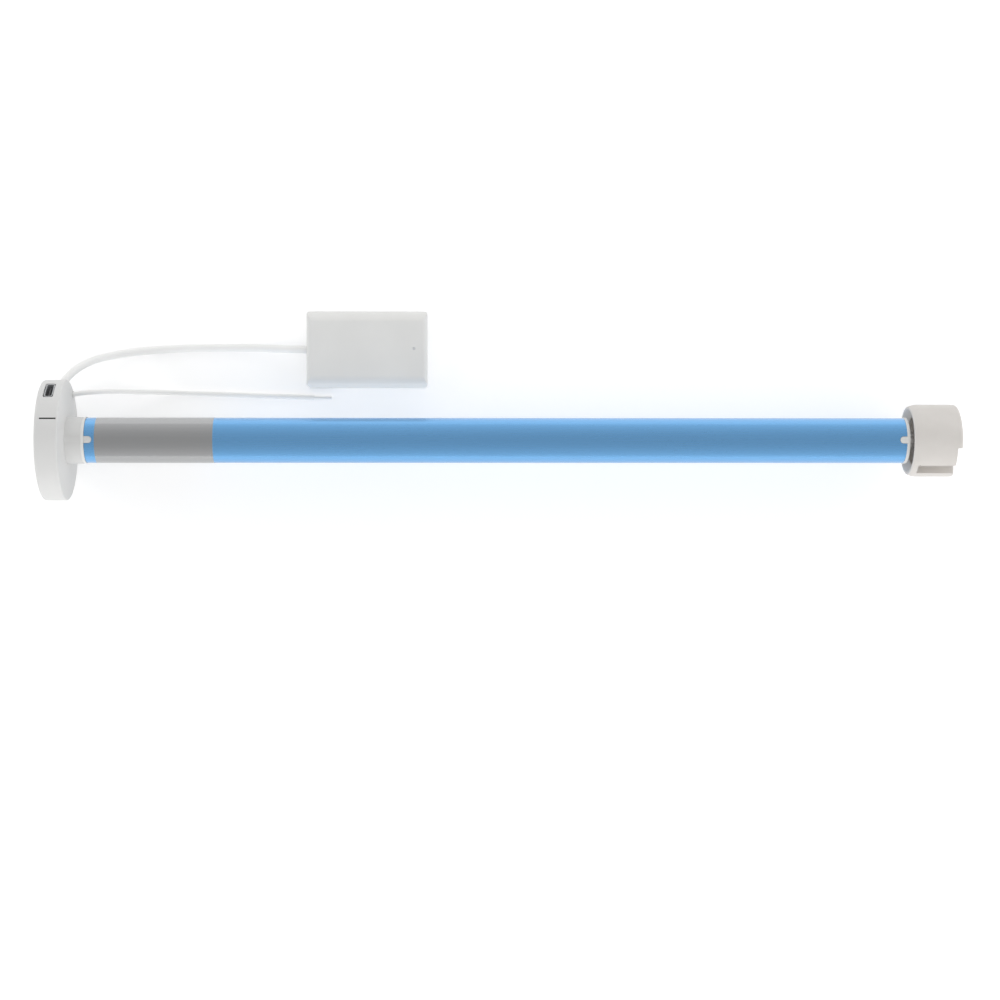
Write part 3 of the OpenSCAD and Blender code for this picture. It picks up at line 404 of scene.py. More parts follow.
FINISHES: dict[Slot, Finish] = {
    # ABS moulded in a spark-eroded tool: satin white, its grit drawn coarse enough to show.
    Slot.WHITE_ABS: Finish(
        "Moulded white ABS", "#d5d5d4", "#dddddc", 0.42, grit_mm=0.6, grit_height=0.008, edge_mm=0.1
    ),
    # The same white ABS painted lighter, for the module's box, the plug and the bead: painted light that
    # sets them off brighter than the neck.
    Slot.PAINTED_LIGHT_ABS: Finish(
        "White ABS painted lighter", "#e2e2e0", "#eaeae8", 0.4, grit_mm=0.6, grit_height=0.008, edge_mm=0.2
    ),
    # The lid is the same ABS from a duller tool, so it reads as a separate piece.
    Slot.COVER_ABS: Finish(
        "Matt moulded ABS lid", "#d8d8d5", "#e0e0dd", 0.52, grit_mm=0.8, grit_height=0.014, edge_mm=0.25
    ),
    # Zinc-plated screw steel: bluish, bright and a little cloudy.
    Slot.SCREW_STEEL: TurnedMetal(
        "Zinc-plated steel", "#a9adb3", "#c6c9cc", 0.3, metallic=1.0, mark_mm=0.5, lines=Lines.ROUND_AXIS
    ),
    # Drawn stainless shell of the socket: a grey lining, so the opening doesn't read as a black hole.
    Slot.PORT_STEEL: TurnedMetal(
        "Drawn stainless steel", "#d0d2d4", "#dcdee0", 0.6, metallic=1.0, mark_mm=0.4
    ),
    # Glass-filled black plastic: matt with a faint grey bloom.
    Slot.BLACK_PLASTIC: Finish(
        "Glass-filled black plastic", "#3a3a3c", "#4a4a4c", 0.5, grit_mm=0.4, grit_height=0.01
    ),
    # Circuit board: green resist with paler tracks.
    Slot.CIRCUIT_BOARD: SolderMask(
        "Solder-masked circuit board",
        "#1f5a32",
        "#6f9a58",
        0.3,
        gloss_drift=0.04,
        grit_height=0.02,
        coat=0.3,
    ),
    # Smoked acrylic window: nearly black, and glossy enough to carry a thin highlight.
    Slot.SMOKED_LENS: Finish(
        "Smoked acrylic window",
        "#0b0b0d",
        "#121215",
        0.12,
        gloss_drift=0.02,
        coat=0.6,
        grit_height=0.001,
    ),
    # Thermoplastic rubber of the grommets: soft matt white.
    Slot.PALE_RUBBER: Finish(
        "Pale thermoplastic rubber",
        "#d2d2d0",
        "#dcdcda",
        0.68,
        grit_mm=0.5,
        grit_height=0.012,
        sheen=0.08,
    ),
    # Extruded PVC sheath: soft white with a gentle gloss and long faint drag marks.
    Slot.LEAD_PVC: Finish(
        "Extruded white PVC", "#f3f3f2", "#f8f8f7", 0.4, drift_mm=9.0, grit_mm=1.2, grit_height=0.01
    ),
    # Drawn aluminium, anodised and dyed blue: a satin metal whose draw lines run along it.
    # The real lines are a few hundredths of a millimetre wide, and are drawn coarser to show.
    Slot.BLUE_ANODISED: TurnedMetal(
        "Blue anodised aluminium",
        "#74b7f0",
        "#7abcf3",
        0.28,
        gloss_drift=0.04,
        metallic=1.0,
        coat=0.8,
        mark_mm=0.35,
        mark_height=0.002,
        lines=Lines.ALONG_TUBE,
    ),
    # Metallised polyester film: dull silver, left bare.
    Slot.SILVER_LABEL: TurnedMetal(
        "Metallised polyester film",
        "#afb0b1",
        "#b6b7b8",
        0.2,
        gloss_drift=0.04,
        metallic=1.0,
        coat=0.8,
        mark_mm=0.5,
        mark_height=0.001,
        lines=Lines.ALONG_TUBE,
    ),
    # Heat-shrunk PVC round the cells: a bright skin with slight ripples.
    Slot.CELL_WRAP: Finish(
        "Heat-shrunk PVC sleeve",
        "#2f6f86",
        "#3a7d93",
        0.28,
        drift_mm=6.0,
        grit_mm=3.0,
        grit_height=0.03,
        coat=0.3,
    ),
    # Nickel strip: warm bright metal with rolling lines.
    Slot.NICKEL: TurnedMetal(
        "Rolled nickel strip", "#b9b5aa", "#cbc7bd", 0.28, metallic=1.0, mark_mm=0.3
    ),
    # Nitrile rubber: nearly black and dull.
    Slot.DARK_RUBBER: Finish(
        "Black nitrile rubber", "#17181a", "#232427", 0.75, grit_mm=0.5, grit_height=0.02, sheen=0.1
    ),
    # Deep-drawn, plated steel of the motor's can and the shielding cans.
    Slot.CAN_STEEL: TurnedMetal(
        "Deep-drawn plated steel",
        "#9a9da0",
        "#b2b4b6",
        0.3,
        metallic=1.0,
        mark_mm=0.6,
        lines=Lines.ALONG_TUBE,
    ),
    # Pressed ferrite: charcoal and grainy.
    Slot.MAGNET: Finish(
        "Pressed ferrite", "#35363a", "#434449", 0.6, drift_mm=3.0, grit_mm=0.3, grit_height=0.02
    ),
    # Oil-filled sintered bronze: brown-gold, open-grained.
    Slot.SINTERED_BRONZE: Finish(
        "Sintered bronze",
        "#8a6a3c",
        "#a5824e",
        0.45,
        drift_mm=1.5,
        grit_mm=0.3,
        grit_height=0.015,
        metallic=1.0,
    ),
    # Stacked sheets with copper in the slots.
    Slot.ARMATURE: WoundCopper(
        "Laminated armature", "#8d4f2c", "#a9683c", 0.38, metallic=1.0, grit_height=0.05
    ),
    # Free-cutting brass, hobbed: yellow with bright flanks.
    Slot.GEAR_BRASS: TurnedMetal(
        "Hobbed brass", "#b3923f", "#c9a954", 0.26, metallic=1.0, mark_mm=0.25, lines=Lines.ROUND_AXIS
    ),
    # Acetal: waxy off-white.
    Slot.GEAR_RESIN: Finish(
        "Moulded acetal", "#dcdad2", "#e6e4dd", 0.36, drift_mm=4.0, grit_mm=0.5, grit_height=0.006
    ),
    # Sintered steel of the carriers: grey and fine-grained.
    Slot.GEAR_STEEL: Finish(
        "Sintered steel",
        "#7d7f82",
        "#929497",
        0.42,
        drift_mm=2.0,
        grit_mm=0.3,
        grit_height=0.012,
        metallic=1.0,
    ),
    # Hobbed and ground shaft steel: bright narrow highlights on its teeth, dark between them.
    Slot.SHAFT_STEEL: TurnedMetal(
        "Ground shaft steel",
        "#e4e4e5",
        "#efefef",
        0.28,
        metallic=1.0,
        mark_mm=0.25,
        lines=Lines.ROUND_AXIS,
    ),
    # Glass-filled nylon of the wheel: warm pale grey with faint flow marks.
    Slot.WHEEL_RESIN: Finish(
        "Glass-filled nylon", "#d1cdc8", "#dcd8d4", 0.5, drift_mm=7.0, grit_mm=0.7, grit_height=0.012
    ),
    # Acrylic light guide: milky, and a little darker than the box because nothing behind it is lit.
    Slot.LIGHT_GUIDE: Finish(
        "Milky acrylic light guide",
        "#d8dadc",
        "#e0e2e4",
        0.2,
        gloss_drift=0.02,
        ior=1.49,
        transmission=0.05,
    ),
}


class Palette:
    """Makes each finish once and hands it out by slot."""

    def __init__(self) -> None:
        """Starts with no material made."""
        self.made: dict[Slot, bpy.types.Material] = {}

    def of(self, slot: Slot) -> bpy.types.Material:
        """Gives the material of a slot, and makes it on first use."""
        if slot not in self.made:
            self.made[slot] = FINISHES[slot].material()
        return self.made[slot]

    def dress(self, piece: bpy.types.Object, slot: Slot) -> None:
        """Puts a slot's material on the whole of a piece.

        Args:
            piece: A mesh or curve, or a node of the frame.
            slot: Finish that it takes.
        """
        if not piece.material_slots:
            piece.data.materials.append(None)
        for place in piece.material_slots:
            place.material = self.of(slot)


def smooth_route(points: tuple[Point, ...], steps: int) -> list[Vector]:
    """Runs a smooth curve through listed points, as the solids' own route does.

    Args:
        points: Route in millimetres.
        steps: Points on each stretch.

    Returns:
        The finer route in metres.
    """
    p = [Vector(point) * MM for point in points]
    line = []
    for i in range(len(p) - 1):
        a, b, c, d = p[max(i - 1, 0)], p[i], p[i + 1], p[min(i + 2, len(p) - 1)]
        for k in range(steps):
            t = k / steps
            bend = (2 * a - 5 * b + 4 * c - d) * t * t + (3 * b - a - 3 * c + d) * t * t * t
            line.append(0.5 * (2 * b + (c - a) * t + bend))
    return [*line, p[-1]]


def applied(piece: bpy.types.Object) -> None:
    """Turns a piece's modifiers into its own mesh.

    Args:
        piece: Mesh object with modifiers.
    """
    graph = bpy.context.evaluated_depsgraph_get()
    mesh = bpy.data.meshes.new_from_object(piece.evaluated_get(graph))
    old = piece.data
    piece.modifiers.clear()
    piece.data = mesh
    bpy.data.meshes.remove(old)


def smoothed(piece: bpy.types.Object, sharp: float = SHARP_ANGLE) -> None:
    """Shades a piece smooth, apart from edges sharper than an angle in degrees."""
    for face in piece.data.polygons:
        face.use_smooth = True
    piece.data.set_sharp_from_angle(angle=math.radians(sharp))


def cut_by(piece: bpy.types.Object, tools: list[bpy.types.Object]) -> None:
    """Cuts each tool's shape out of a piece, and takes the tools away.

    Args:
        piece: Mesh object that is cut.
        tools: Closed mesh objects.
    """
    for tool in tools:
        cut = piece.modifiers.new(tool.name, "BOOLEAN")
        cut.object = tool
        cut.solver = "EXACT"
    applied(piece)
    for tool in tools:
        bpy.data.objects.remove(tool)


def object_from(name: str, made: bmesh.types.BMesh) -> bpy.types.Object:
    """Makes an object in the scene from an edit mesh, which it frees.

    Args:
        name: Name of the piece.
        made: Mesh in metres.

    Returns:
        The new object.
    """
    mesh = bpy.data.meshes.new(name)
    made.to_mesh(mesh)
    made.free()
    piece = bpy.data.objects.new(name, mesh)
    bpy.context.scene.collection.objects.link(piece)
    return piece


def revolved(profile: list[tuple[float, float]], sides: int) -> bmesh.types.BMesh:
    """Revolves a closed profile round the tube's axis.

    Args:
        profile: Places along the axis and radii, in millimetres.
        sides: Facets of a full turn.

    Returns:
        The closed mesh.
    """
    made = bmesh.new()
    rings = []
    for k in range(sides):
        turn = math.tau * k / sides
        rings.append(
            [
                made.verts.new((x * MM, r * MM * math.sin(turn), r * MM * math.cos(turn)))
                for x, r in profile
            ]
        )
    count = len(profile)
    for k in range(sides):
        here, there = rings[k], rings[(k + 1) % sides]
        for i in range(count):
            j = (i + 1) % count
            made.faces.new((here[i], here[j], there[j], there[i]))
    bmesh.ops.recalc_face_normals(made, faces=made.faces)
    return made


def eased(piece: bpy.types.Object, width: float, steps: int = 3, limit: float = 28.0) -> None:
    """Rounds a piece's sharp edges, as a tool or a tumbling drum leaves them.

    Args:
        piece: Mesh object.
        width: Width of the rounding in millimetres.
        steps: Facets across it.
        limit: Angle in degrees from which an edge counts as sharp.
    """
    for face in piece.data.polygons:
        face.use_smooth = True
    edge = piece.modifiers.new("edges", "BEVEL")
    edge.width = width * MM
    edge.segments = steps
    edge.limit_method = "ANGLE"
    edge.angle_limit = math.radians(limit)
    edge.use_clamp_overlap = False
    edge.miter_outer = "MITER_ARC"
    even = piece.modifiers.new("normals", "WEIGHTED_NORMAL")
    even.keep_sharp = True
    applied(piece)


def copy_of(node: str, nodes: dict[str, bpy.types.Object]) -> bpy.types.Object:
    """Takes a node's own surface as the start of a finer piece.

    Args:
        node: Name of the node.
        nodes: The frame's nodes by name.

    Returns:
        A free mesh object with whole faces in place of the node's triangles.
    """
    made = bmesh.new()
    made.from_mesh(nodes[node].data)
    bmesh.ops.remove_doubles(made, verts=made.verts, dist=WELD)
    bmesh.ops.dissolve_limit(
        made, angle_limit=math.radians(FLAT_ANGLE), verts=made.verts, edges=made.edges
    )
    return object_from(node + "_shape", made)


@dataclass(frozen=True)
class CrossRecess:
    """Shape of a screw's cross recess, in shares of its half width, and where its cut starts in mm."""

    arm: float = 0.3
    mouth: float = 1.05
    foot: float = 0.55
    depth: float = 0.6
    start: float = -0.1


CROSS = CrossRecess()


@dataclass
class SubAssembly:
    """Pieces that are dressed together."""

    nodes: dict[str, bpy.types.Object]
    palette: Palette

    def dress_nodes(self, slots: dict[str, Slot]) -> None:
        """Gives nodes that keep their own shape their finish.

        Args:
            slots: Finish by node name.
        """
        for node, slot in slots.items():
            self.palette.dress(self.nodes[node], slot)
            LOG.info("node %s: %s", node, FINISHES[slot].name)

    def settle(
        self, piece: bpy.types.Object, body: Body, slot: Slot, *stands_for: str
    ) -> bpy.types.Object:
        """Dresses a new piece, puts it on its body and lets it stand for its nodes.

        Args:
            piece: Mesh or curve.
            body: Body that carries it.
            slot: Finish that it takes.
            stands_for: Nodes that it replaces.

        Returns:
            The same piece.
        """
        self.palette.dress(piece, slot)
        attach(piece, body.value)
        if stands_for:
            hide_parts(*stands_for)
        LOG.info("piece %s on %s: %s", piece.name, body.value, FINISHES[slot].name)
        return piece

    def eased_node(self, node: str, body: Body, slot: Slot, width: float) -> bpy.types.Object:
        """Replaces a node by the same form with eased edges.

        Args:
            node: Name of the node.
            body: Body that carries it.
            slot: Finish that it takes.
            width: Width of the rounding in millimetres.

        Returns:
            The new piece.
        """
        piece = copy_of(node, self.nodes)
        eased(piece, width)
        return self.settle(piece, body, slot, node)

    def cross_tool(self, face: Vector, inward: float, reach: float) -> bpy.types.Object:
        """Makes the tapered cross that cuts a driver's recess into a screw's head.

        Args:
            face: Centre of the head's outer face, in millimetres.
            inward: 1 or -1, the way along the tube into the head.
            reach: Half of the cross, in millimetres.

        Returns:
            A closed mesh object.
        """
        arm = reach * CROSS.arm
        corner = [(arm, arm), (reach, arm), (reach, -arm)]
        outline = []
        for k in range(4):
            c, d = (1, 0, -1, 0)[k], (0, -1, 0, 1)[k]
            outline += [(c * y - d * z, d * y + c * z) for y, z in corner]
        made = bmesh.new()
        rings = []
        for depth, share in ((CROSS.start, CROSS.mouth), (reach * CROSS.depth, CROSS.foot)):
            rings.append(
                [
                    made.verts.new((face + Vector((inward * depth, y * share, z * share))) * MM)
                    for y, z in outline
                ]
            )
        made.faces.new(rings[0])
        made.faces.new(rings[1])
        for i in range(len(outline)):
            j = (i + 1) % len(outline)
            made.faces.new((rings[0][i], rings[0][j], rings[1][j], rings[1][i]))
        bmesh.ops.recalc_face_normals(made, faces=made.faces)
        return object_from("cross_tool", made)

    def cross_screws(
        self, node: str, body: Body, faces: list[Vector], inward: float, reach: float
    ) -> None:
        """Replaces a node of screws by the same screws with a cross recess in each head.

        Args:
            node: Name of the node.
            body: Body that carries them.
            faces: Centres of the heads' outer faces, in millimetres.
            inward: 1 or -1, the way along the tube into the heads.
            reach: Half of a recess, in millimetres.
        """
        screws = copy_of(node, self.nodes)
        cut_by(screws, [self.cross_tool(face, inward, reach) for face in faces])
        smoothed(screws)
        self.settle(screws, body, Slot.SCREW_STEEL, node)


@dataclass
class Head(SubAssembly):
    """Round head with its lid, charging socket, light bar, button and grommets."""

    grommet_edge: float = 0.15
    screw_circle: float = 18.4
    screw_face: float = 0.2
    screw_recess: float = 1.1
    screw_angles: tuple[float, ...] = (-35.0, 85.0, 205.0)
    port_angle: float = 54.6
    port_place: float = 4.4
    tongue_half: float = 0.35
    contact_pitch: float = 0.5
    contacts: int = 12
    contact_size: Point = (0.03, 0.26, 3.2)
    contact_radius: float = 20.4
    contact_edge: float = 0.01

    def build_contacts(self) -> None:
        """Lays the plated contact strips on both faces of the socket's tongue."""
        made = bmesh.new()
        turn = Matrix.Rotation(math.radians(-self.port_angle), 4, "X")
        size = Matrix.Diagonal((*[side * MM for side in self.contact_size], 1.0))
        for face in (-1, 1):
            for k in range(self.contacts):
                across = (k - (self.contacts - 1) / 2) * self.contact_pitch
                along = self.port_place + face * self.tongue_half
                place = Matrix.Translation(Vector((along, across, self.contact_radius)) * MM)
                bmesh.ops.create_cube(made, size=1.0, matrix=turn @ place @ size)
        width = self.contact_edge * MM
        bmesh.ops.bevel(made, geom=made.edges, offset=width, segments=1, affect="EDGES")
        strips = object_from("socket_contacts", made)
        self.settle(strips, Body.MOTOR, Slot.NICKEL)

    def build(self) -> None:
        """Makes the grommets, the contacts and the screws, and dresses the rest."""
        self.build_contacts()
        far = self.screw_circle
        turns = [math.radians(angle) for angle in self.screw_angles]
        heads = [Vector((self.screw_face, far * math.sin(t), far * math.cos(t))) for t in turns]
        self.cross_screws("cover_screws", Body.MOTOR, heads, 1.0, self.screw_recess)
        self.eased_node("lead_grommet", Body.MOTOR, Slot.PALE_RUBBER, self.grommet_edge)
        self.eased_node("antenna_grommet", Body.MOTOR, Slot.PALE_RUBBER, self.grommet_edge)
        self.dress_nodes(
            {
                "head_housing": Slot.WHITE_ABS,
                "head_cover": Slot.COVER_ABS,
                "set_button": Slot.WHITE_ABS,
                "charge_port_shell": Slot.PORT_STEEL,
                "charge_port_tongue": Slot.BLACK_PLASTIC,
                "indicator_lens": Slot.SMOKED_LENS,
                "head_board": Slot.CIRCUIT_BOARD,
                "tact_switch": Slot.BLACK_PLASTIC,
            }
        )


@dataclass
class TubeWithLabel(SubAssembly):
    """Anodised tube with a notch at each end, and the sleeve label on it."""

    start: float = 16.7
    end: float = 341.2
    radius: float = 9.0
    bore: float = 8.2
    edge: float = 0.12
    sides: int = 180
    notch_width: float = 2.9
    notch_steps: int = 12
    notch_floor: float = 4.0
    notch_height: float = 8.0
    notch_overrun: float = 2.0
    head_notch: float = 3.2
    plug_notch: float = 2.9
    label_start: float = 20.8
    label_end: float = 67.2
    label_radius: float = 9.11
    label_inner: float = 9.01
    label_edge: float = 0.03
    collar_start: float = 15.5
    collar_radius: float = 9.15
    collar_crown: float = 0.04
    bead_depth: float = 0.2
    bead_steps: int = 8
    bead_sharp: float = 40.0

    def build(self) -> None:
        """Makes the tube, its label and the bead at its head end."""
        self.build_tube()
        self.build_label()
        self.build_bead()

    def notch(self, root: float, end: float) -> bpy.types.Object:
        """Makes the tool that cuts one round-ended notch.

        Args:
            root: Place outside the tube's end, in millimetres.
            end: Deepest place of the notch.

        Returns:
            A closed mesh object.
        """
        half = self.notch_width / 2
        side = math.copysign(1.0, end - root)
        centre = end - side * half
        outline = [(root, -half), (root, half)]
        for k in range(self.notch_steps + 1):
            turn = math.pi * (0.5 - k / self.notch_steps)
            outline.append((centre + side * half * math.cos(turn), half * math.sin(turn)))
        made = bmesh.new()
        floor = self.notch_floor * MM
        low = made.faces.new([made.verts.new((x * MM, y * MM, floor)) for x, y in outline])
        grown = bmesh.ops.extrude_face_region(made, geom=[low])
        lifted = [v for v in grown["geom"] if isinstance(v, bmesh.types.BMVert)]
        bmesh.ops.translate(made, verts=lifted, vec=(0, 0, self.notch_height * MM))
        bmesh.ops.recalc_face_normals(made, faces=made.faces)
        return object_from("notch_tool", made)

    def build_tube(self) -> None:
        """Revolves the tube, cuts its notches and breaks its edges."""
        e = self.edge
        profile = [
            (self.start + e, self.radius),
            (self.end - e, self.radius),
            (self.end, self.radius - e),
            (self.end, self.bore + e),
            (self.end - e, self.bore),
            (self.start + e, self.bore),
            (self.start, self.bore + e),
            (self.start, self.radius - e),
        ]
        tube = object_from("drawn_tube", revolved(profile, self.sides))
        at_head = self.notch(self.start - self.notch_overrun, self.start + self.head_notch)
        at_plug = self.notch(self.end + self.notch_overrun, self.end - self.plug_notch)
        cut_by(tube, [at_head, at_plug])
        smoothed(tube)
        self.settle(tube, Body.MOTOR, Slot.BLUE_ANODISED, "motor_tube")

    def build_label(self) -> None:
        """Revolves the label's film, with its cut edges just broken."""
        e = self.label_edge
        profile = [
            (self.label_start, self.label_inner),
            (self.label_start, self.label_radius - e),
            (self.label_start + e, self.label_radius),
            (self.label_end - e, self.label_radius),
            (self.label_end, self.label_radius - e),
            (self.label_end, self.label_inner),
        ]
        label = object_from("label_film", revolved(profile, self.sides))
        smoothed(label)
        self.settle(label, Body.MOTOR, Slot.SILVER_LABEL, "rating_label")

    def build_bead(self) -> None:
        """Adds the crowned bead on the collar, which catches the light beside the neck; its
        lighter-painted ABS adds a painted highlight there.
        """
        middle = (self.collar_start + self.start) / 2
        half = (self.start - self.collar_start) / 2
        foot = self.collar_radius - self.bead_depth
        profile = [(self.start, foot), (self.collar_start, foot)]
        for k in range(self.bead_steps + 1):
            turn = math.pi * (1 - k / self.bead_steps)
            profile.append(
                (middle + half * math.cos(turn), self.collar_radius + self.collar_crown * math.sin(turn))
            )
        bead = object_from("collar_bead", revolved(profile, self.sides))
        smoothed(bead, self.bead_sharp)
        self.settle(bead, Body.MOTOR, Slot.PAINTED_LIGHT_ABS)


@dataclass
class DrivenEnd(SubAssembly):
    """End plug, splined shaft, drive wheel and its screw."""

    wheel_edge: float = 0.22
    screw_face: float = 359.0
    screw_recess: float = 1.9

    def build(self) -> None:
        """Makes the moulded wheel and its screw, and dresses the rest."""
        face = Vector((self.screw_face, 0.0, 0.0))
        self.cross_screws("wheel_screw", Body.OUTPUT, [face], -1.0, self.screw_recess)
        self.eased_node("drive_wheel", Body.OUTPUT, Slot.WHEEL_RESIN, self.wheel_edge)
        self.dress_nodes(
            {
                # The plug's ring takes the lighter-painted ABS, a painted highlight at the tube's end.
                "output_end_plug": Slot.PAINTED_LIGHT_ABS,
                "output_shaft": Slot.SHAFT_STEEL,
                "output_bearing": Slot.SINTERED_BRONZE,
            }
        )


@dataclass
class RadioModule(SubAssembly):
    """Small flat box at the end of the lead, in two snapped halves."""

    base_edge: float = 0.4
    grommet_edge: float = 0.2

    def build(self) -> None:
        """Makes the base and the grommet, and dresses the shell and what it holds."""
        # Both halves of the box take the lighter-painted ABS, painted light that makes them show
        # brighter.
        self.eased_node("module_base", Body.MOTOR, Slot.PAINTED_LIGHT_ABS, self.base_edge)
        self.eased_node("module_grommet", Body.MOTOR, Slot.PALE_RUBBER, self.grommet_edge)
        self.dress_nodes(
            {
                "module_top_shell": Slot.PAINTED_LIGHT_ABS,
                "module_board": Slot.CIRCUIT_BOARD,
                "module_components": Slot.CAN_STEEL,
                "module_light_guide": Slot.LIGHT_GUIDE,
            }
        )


@dataclass
class Cords(SubAssembly):
    """The module's lead and the wire antenna, each on one smooth route.

    The routes repeat the points that the solids follow, in millimetres.
    """

    lead_diameter: float = 3.2
    antenna_diameter: float = 2.0
    tip_share: float = 0.6
    tip_sides: int = 20
    tip_edge: float = 0.15
    tip_steps: int = 4
    route_steps: int = 6
    sheath_facets: int = 6
    lead_route: tuple[Point, ...] = (
        (5.8, 20.8, -7.6), (5.8, 22.5, -8.2), (6.0, 23.8, -8.7), (6.8, 25.1, -9.4),
        (7.9, 26.5, -10.3), (9.3, 28.1, -11.5), (11.3, 29.8, -13.2), (13.7, 31.4, -15.0),
        (17.2, 33.2, -17.2), (22.0, 34.7, -19.9), (28.0, 36.0, -21.7), (35.0, 37.0, -22.3),
        (43.0, 37.6, -22.3), (52.0, 38.1, -22.3), (61.0, 38.3, -22.3), (70.0, 38.4, -22.2),
        (78.0, 38.4, -21.5), (86.0, 38.1, -20.3), (94.0, 37.7, -19.1), (99.0, 37.5, -18.5),
        (102.9, 37.4, -18.4), (104.2, 37.4, -18.4),
    )
    antenna_route: tuple[Point, ...] = (
        (7.4, 18.8, -10.9), (9.4, 18.8, -10.9), (12.0, 19.2, -11.0), (16.0, 19.7, -11.7),
        (21.0, 20.0, -13.3), (27.0, 20.2, -15.6), (33.0, 20.2, -18.0), (39.0, 20.2, -20.1),
        (45.0, 20.1, -21.7), (51.0, 19.9, -22.6), (58.0, 19.7, -22.9), (67.0, 19.4, -22.9),
        (77.0, 19.1, -22.9), (87.0, 18.7, -22.9), (97.0, 18.4, -22.9), (105.4, 18.0, -22.9),
    )
    tip_route: tuple[Point, ...] = (
        (104.6, 18.04, -22.9), (105.4, 18.0, -22.9), (108.9, 18.0, -22.9), (112.4, 18.0, -22.9),
    )

    def sheath(self, name: str, line: list[Vector], diameter: float) -> bpy.types.Object:
        """Sweeps a round sheath along a route.

        Args:
            name: Name of the piece.
            line: Route in metres.
            diameter: Outside diameter in millimetres.

        Returns:
            A curve of one open spline.
        """
        curve = bpy.data.curves.new(name, "CURVE")
        curve.dimensions = "3D"
        curve.bevel_depth = diameter / 2 * MM
        curve.bevel_resolution = self.sheath_facets
        curve.use_fill_caps = True
        run = curve.splines.new("POLY")
        run.points.add(len(line) - 1)
        for point, place in zip(run.points, line):
            point.co = (*place, 1.0)
        run.use_smooth = True
        piece = bpy.data.objects.new(name, curve)
        bpy.context.scene.collection.objects.link(piece)
        return piece

    def build(self) -> None:
        lead_line = smooth_route(self.lead_route, self.route_steps)
        lead = self.sheath("module_lead_sheath", lead_line, self.lead_diameter)
        self.settle(lead, Body.MOTOR, Slot.LEAD_PVC, "module_lead")
        tip = self.build_tip()
        line = smooth_route(self.antenna_route, self.route_steps)
        wire = self.sheath("antenna_sheath", line, self.antenna_diameter)
        self.settle(wire, Body.MOTOR, Slot.LEAD_PVC, "antenna_wire")

    def build_tip(self) -> bpy.types.Object:
        """Makes the thinner stripped end, cut off square and eased at its rim.

        Returns:
            The tip's mesh.
        """
        line = smooth_route(self.tip_route, self.tip_steps)
        radius = self.antenna_diameter * self.tip_share / 2 * MM
        sides = self.tip_sides
        made = bmesh.new()
        turns = [math.tau * k / sides for k in range(sides)]
        round_end = [radius * Vector((0, math.cos(t), math.sin(t))) for t in turns]
        rings = [[made.verts.new(place + spoke) for spoke in round_end] for place in line]
        for here, there in zip(rings, rings[1:]):
            for k in range(sides):
                j = (k + 1) % sides
                made.faces.new((here[k], here[j], there[j], there[k]))
        made.faces.new(rings[0])
        made.faces.new(rings[-1])
        bmesh.ops.recalc_face_normals(made, faces=made.faces)
        tip = object_from("antenna_stripped_end", made)
        eased(tip, self.tip_edge)
        return self.settle(tip, Body.MOTOR, Slot.LEAD_PVC, "antenna_tip")


@dataclass
class Drivetrain(SubAssembly):
    """Cells, board, motor and planetary train inside the tube."""

    stages: int = 3
    planets: int = 3

    def build(self) -> None:
        """Dresses every inner node."""
        self.dress_nodes(
            {
                "battery_carrier": Slot.BLACK_PLASTIC,
                "battery_cells": Slot.CELL_WRAP,
                "battery_tabs": Slot.NICKEL,
                "control_board": Slot.CIRCUIT_BOARD,
                "board_components": Slot.BLACK_PLASTIC,
                "rubber_damper": Slot.DARK_RUBBER,
                "motor_can": Slot.CAN_STEEL,
                "motor_magnets": Slot.MAGNET,
                "motor_end_cap": Slot.BLACK_PLASTIC,
                "motor_bush": Slot.SINTERED_BRONZE,
                "rotor": Slot.ARMATURE,
                "hall_magnet": Slot.MAGNET,
                "motor_pinion": Slot.GEAR_BRASS,
                "ring_gear": Slot.GEAR_RESIN,
                "carrier_1": Slot.GEAR_STEEL,
                "carrier_2": Slot.GEAR_STEEL,
                "output_carrier": Slot.GEAR_STEEL,
            }
        )
        self.dress_nodes(
            {
                f"stage{s}_planet_{k}": Slot.GEAR_RESIN
                for s in range(1, self.stages + 1)
                for k in range(1, self.planets + 1)
            }
        )


@dataclass(frozen=True)
class Softbox:
    """One soft lamp: its centre in metres, its power in watts and the height of its face in metres."""

    name: str
    place: Point
    power: float
    tall: float = 1.0


